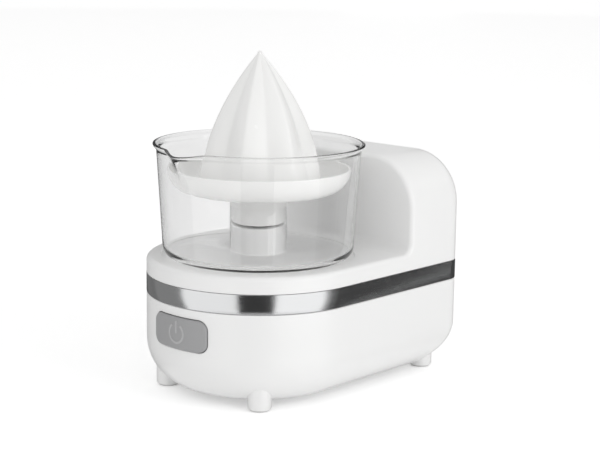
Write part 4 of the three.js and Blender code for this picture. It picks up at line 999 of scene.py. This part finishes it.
def squeezingCone():
    c = cone
    roof, tube, soft = c["roofRadius"], c["tubeRadius"], 0.4
    bore, low = tube - c["tubeWall"], c["tubeBottom"]
    bm = bmesh.new()
    shares = [0.006, 0.02] + [0.02 + 0.88 * i / 26 for i in range(1, 27)] + [0.92, 0.94, 0.955, 0.97, 0.98]
    skin = [coneRing(bm, 0, c["footEdge"])] + [coneRing(bm, share) for share in shares]
    bridgeRings(bm, skin)
    roundPoint(bm, skin[-1])
    # the hollow under the lobes, the roof that sits on the bush, and the tube down the middle
    inside = [coneRing(bm, 0, c["wall"])]
    inside += [coneRing(bm, share, c["wall"] + 0.6) for share in (0.05, 0.15, 0.3, 0.45, 0.55)]
    inside += [flatRing(bm, r, z, c["steps"]) for r, z in (
        (roof, c["foot"] + c["roofShare"] * c["height"]), (roof, c["foot"] + soft),
        (roof + c["roofStep"], c["foot"]), (roof + c["roofStep"], c["seat"]), (tube, c["seat"]),
        (tube, low + soft), (tube - soft, low), (bore + soft, low), (bore, low + soft), (bore, c["boreTop"]))]
    bridgeRings(bm, [skin[0]] + inside)
    closeRing(bm, inside[-1])
    made = toMesh("squeezingCone", bm, sharp=28)
    return settle(made, "cone", whiteFood, ["reamer_cone"])


squeezingCone()
print("cone made")


# ---- foot pads and cord sleeve ----

sleeve = dict(bore=3.6, inner=7.2, neck=6.0, outer=8.5)


def footPads():
    radius, top, plug = foot["padRadius"], foot["padTop"], foot["plugRadius"]
    plugTop = top + foot["plugHeight"]
    outline = rounded([(0, 0), (radius, 0, foot["padEdge"]), (radius, top, 0.3),
                       (plug, top), (plug, plugTop, 0.4), (0, plugTop)])
    for corner, x, y in footSpots():
        bm = bmesh.new()
        turned(bm, [(r, 0, z) for r, z in outline], (0, 0, 1), 48, closed=False)
        bmesh.ops.translate(bm, verts=bm.verts, vec=(x, y, 0))
        settle(toMesh("pad_" + corner, bm), "base", padRubber, ["foot_pad_" + corner])


def cordSleeve():
    s = sleeve
    low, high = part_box("cord_gland")
    front, back = ((end.y - axisY) / mm for end in (low, high))
    wall, face = rearY - base["wall"] - gap, rearY + gap
    outline = rounded([(s["bore"], front, 0.4), (s["inner"], front, 0.5), (s["inner"], wall, 0.3),
                       (s["neck"], wall), (s["neck"], face), (s["outer"], face, 0.3),
                       (s["outer"], back, 0.9), (s["bore"], back, 0.6)])
    bm = bmesh.new()
    turned(bm, [(r, y, 0) for r, y in outline], (0, 1, 0), 64)
    bmesh.ops.translate(bm, verts=bm.verts, vec=(0, 0, (low.z + high.z) / 2 / mm))
    settle(toMesh("cordSleeve", bm), "base", bySlot["black_rubber"], ["cord_gland"])


footPads()
cordSleeve()
print("pads and sleeve made")


# ---- studio ----

studio = dict(floorSize=8.0, floorSeen=0.2, floorGlow=0.08, skyStrength=0.77, cardRadius=4.0,
              cardLow=-2.6, cardHigh=1.6, cardSteps=24)
cards = [(-140, -115, 0.12), (-115, -85, 0.2), (-85, -38.5, 0.28), (-38.5, 23, 1.15), (23, 60, 0.05),
         (60, 115, 1.3), (115, 121, 0.5), (121, 130, 0.16), (130, 145, 0.07),
         (146, 215, 0.07)]  # from, to, brightness


def makeFloor():
    bm = bmesh.new()
    bmesh.ops.create_grid(bm, x_segments=1, y_segments=1, size=studio["floorSize"])
    mesh = bpy.data.meshes.new("floor")
    bm.to_mesh(mesh)
    bm.free()
    floor = bpy.data.objects.new("floor", mesh)
    scene.collection.objects.link(floor)
    pale = moulded("paleFloor", (0.95, 0.95, 0.95), 0.8, bump=0.0, shader={"Emission Color": (1, 1, 1, 1)})
    tree = pale.node_tree
    path = addNode(tree, "ShaderNodeLightPath")
    glow = addNode(tree, "ShaderNodeMath", {1: studio["floorSeen"], 2: studio["floorGlow"]},
                   operation="MULTIPLY_ADD")
    tree.links.new(path.outputs["Is Camera Ray"], glow.inputs[0])
    tree.links.new(glow.outputs[0], tree.nodes["Principled BSDF"].inputs["Emission Strength"])
    floor.data.materials.append(pale)
    floor.visible_glossy = False


def cardLight(name, bright):
    # the cards show from outside only, so nothing inside the clear bowl mirrors them
    material = bpy.data.materials.new(name)
    material.use_nodes = True
    tree = material.node_tree
    link = tree.links.new
    tree.nodes.remove(tree.nodes["Principled BSDF"])
    glow = addNode(tree, "ShaderNodeEmission", {"Color": (bright, bright, bright, 1), "Strength": 1.0})
    clear = addNode(tree, "ShaderNodeBsdfTransparent")
    path = addNode(tree, "ShaderNodeLightPath")
    inside = addNode(tree, "ShaderNodeMath", {1: 0.5}, operation="GREATER_THAN")
    mix = addNode(tree, "ShaderNodeMixShader")
    link(path.outputs["Transmission Depth"], inside.inputs[0])
    link(inside.outputs[0], mix.inputs[0])
    link(glow.outputs[0], mix.inputs[1])
    link(clear.outputs[0], mix.inputs[2])
    link(mix.outputs[0], tree.nodes["Material Output"].inputs["Surface"])
    return material


def makeCards():
    # tall curved cards that only show in polished surfaces
    steps = studio["cardSteps"]
    for number, (start, end, bright) in enumerate(cards):
        bm = bmesh.new()
        columns = []
        for i in range(steps + 1):
            angle = radians(start + (end - start) * i / steps)
            place = Vector((sin(angle), -cos(angle), 0)) * studio["cardRadius"]
            columns.append([bm.verts.new(place + Vector((0, 0, z)))
                            for z in (studio["cardLow"], studio["cardHigh"])])
        for left, right in zip(columns, columns[1:]):
            bm.faces.new((left[0], right[0], right[1], left[1]))
        mesh = bpy.data.meshes.new("card")
        bm.to_mesh(mesh)
        bm.free()
        name = "card_" + str(number)
        card = bpy.data.objects.new(name, mesh)
        scene.collection.objects.link(card)
        card.data.materials.append(cardLight(name, bright))
        for way in ("camera", "diffuse", "transmission", "volume_scatter", "shadow"):
            setattr(card, "visible_" + way, False)


def makeSky():
    world = bpy.data.worlds.new("studio")
    scene.world = world
    world.use_nodes = True
    tree = world.node_tree
    background = tree.nodes["Background"]
    background.inputs["Color"].default_value = (1, 1, 1, 1)
    path = addNode(tree, "ShaderNodeLightPath")
    seen = addNode(tree, "ShaderNodeMath", {1: 1 - studio["skyStrength"], 2: studio["skyStrength"]},
                   operation="MULTIPLY_ADD")
    tree.links.new(path.outputs["Is Camera Ray"], seen.inputs[0])
    tree.links.new(seen.outputs[0], background.inputs["Strength"])


lamps = dict(rightSoft=dict(azimuth=95, elevation=20, size=1.0, power=6),
             frontSoft=dict(azimuth=10, elevation=12, size=0.8, power=1.0))
lampDistance, lampAim = 1.6, 0.1


def softLight(name, azimuth, elevation, size, power):
    # a square light that faces the object, azimuth counted from the front round to the right
    a, e = radians(azimuth), radians(elevation)
    back = Vector((sin(a) * cos(e), -cos(a) * cos(e), sin(e)))
    data = bpy.data.lights.new(name, "AREA")
    data.size = size
    data.energy = power
    light = bpy.data.objects.new(name, data)
    light.location = back * lampDistance + Vector((0, 0, lampAim))
    light.rotation_euler = back.to_track_quat("Z", "Y").to_euler()
    light.visible_glossy = False
    scene.collection.objects.link(light)


makeFloor()
makeCards()
makeSky()
for name, setting in lamps.items():
    softLight(name, **setting)
print("studio made")
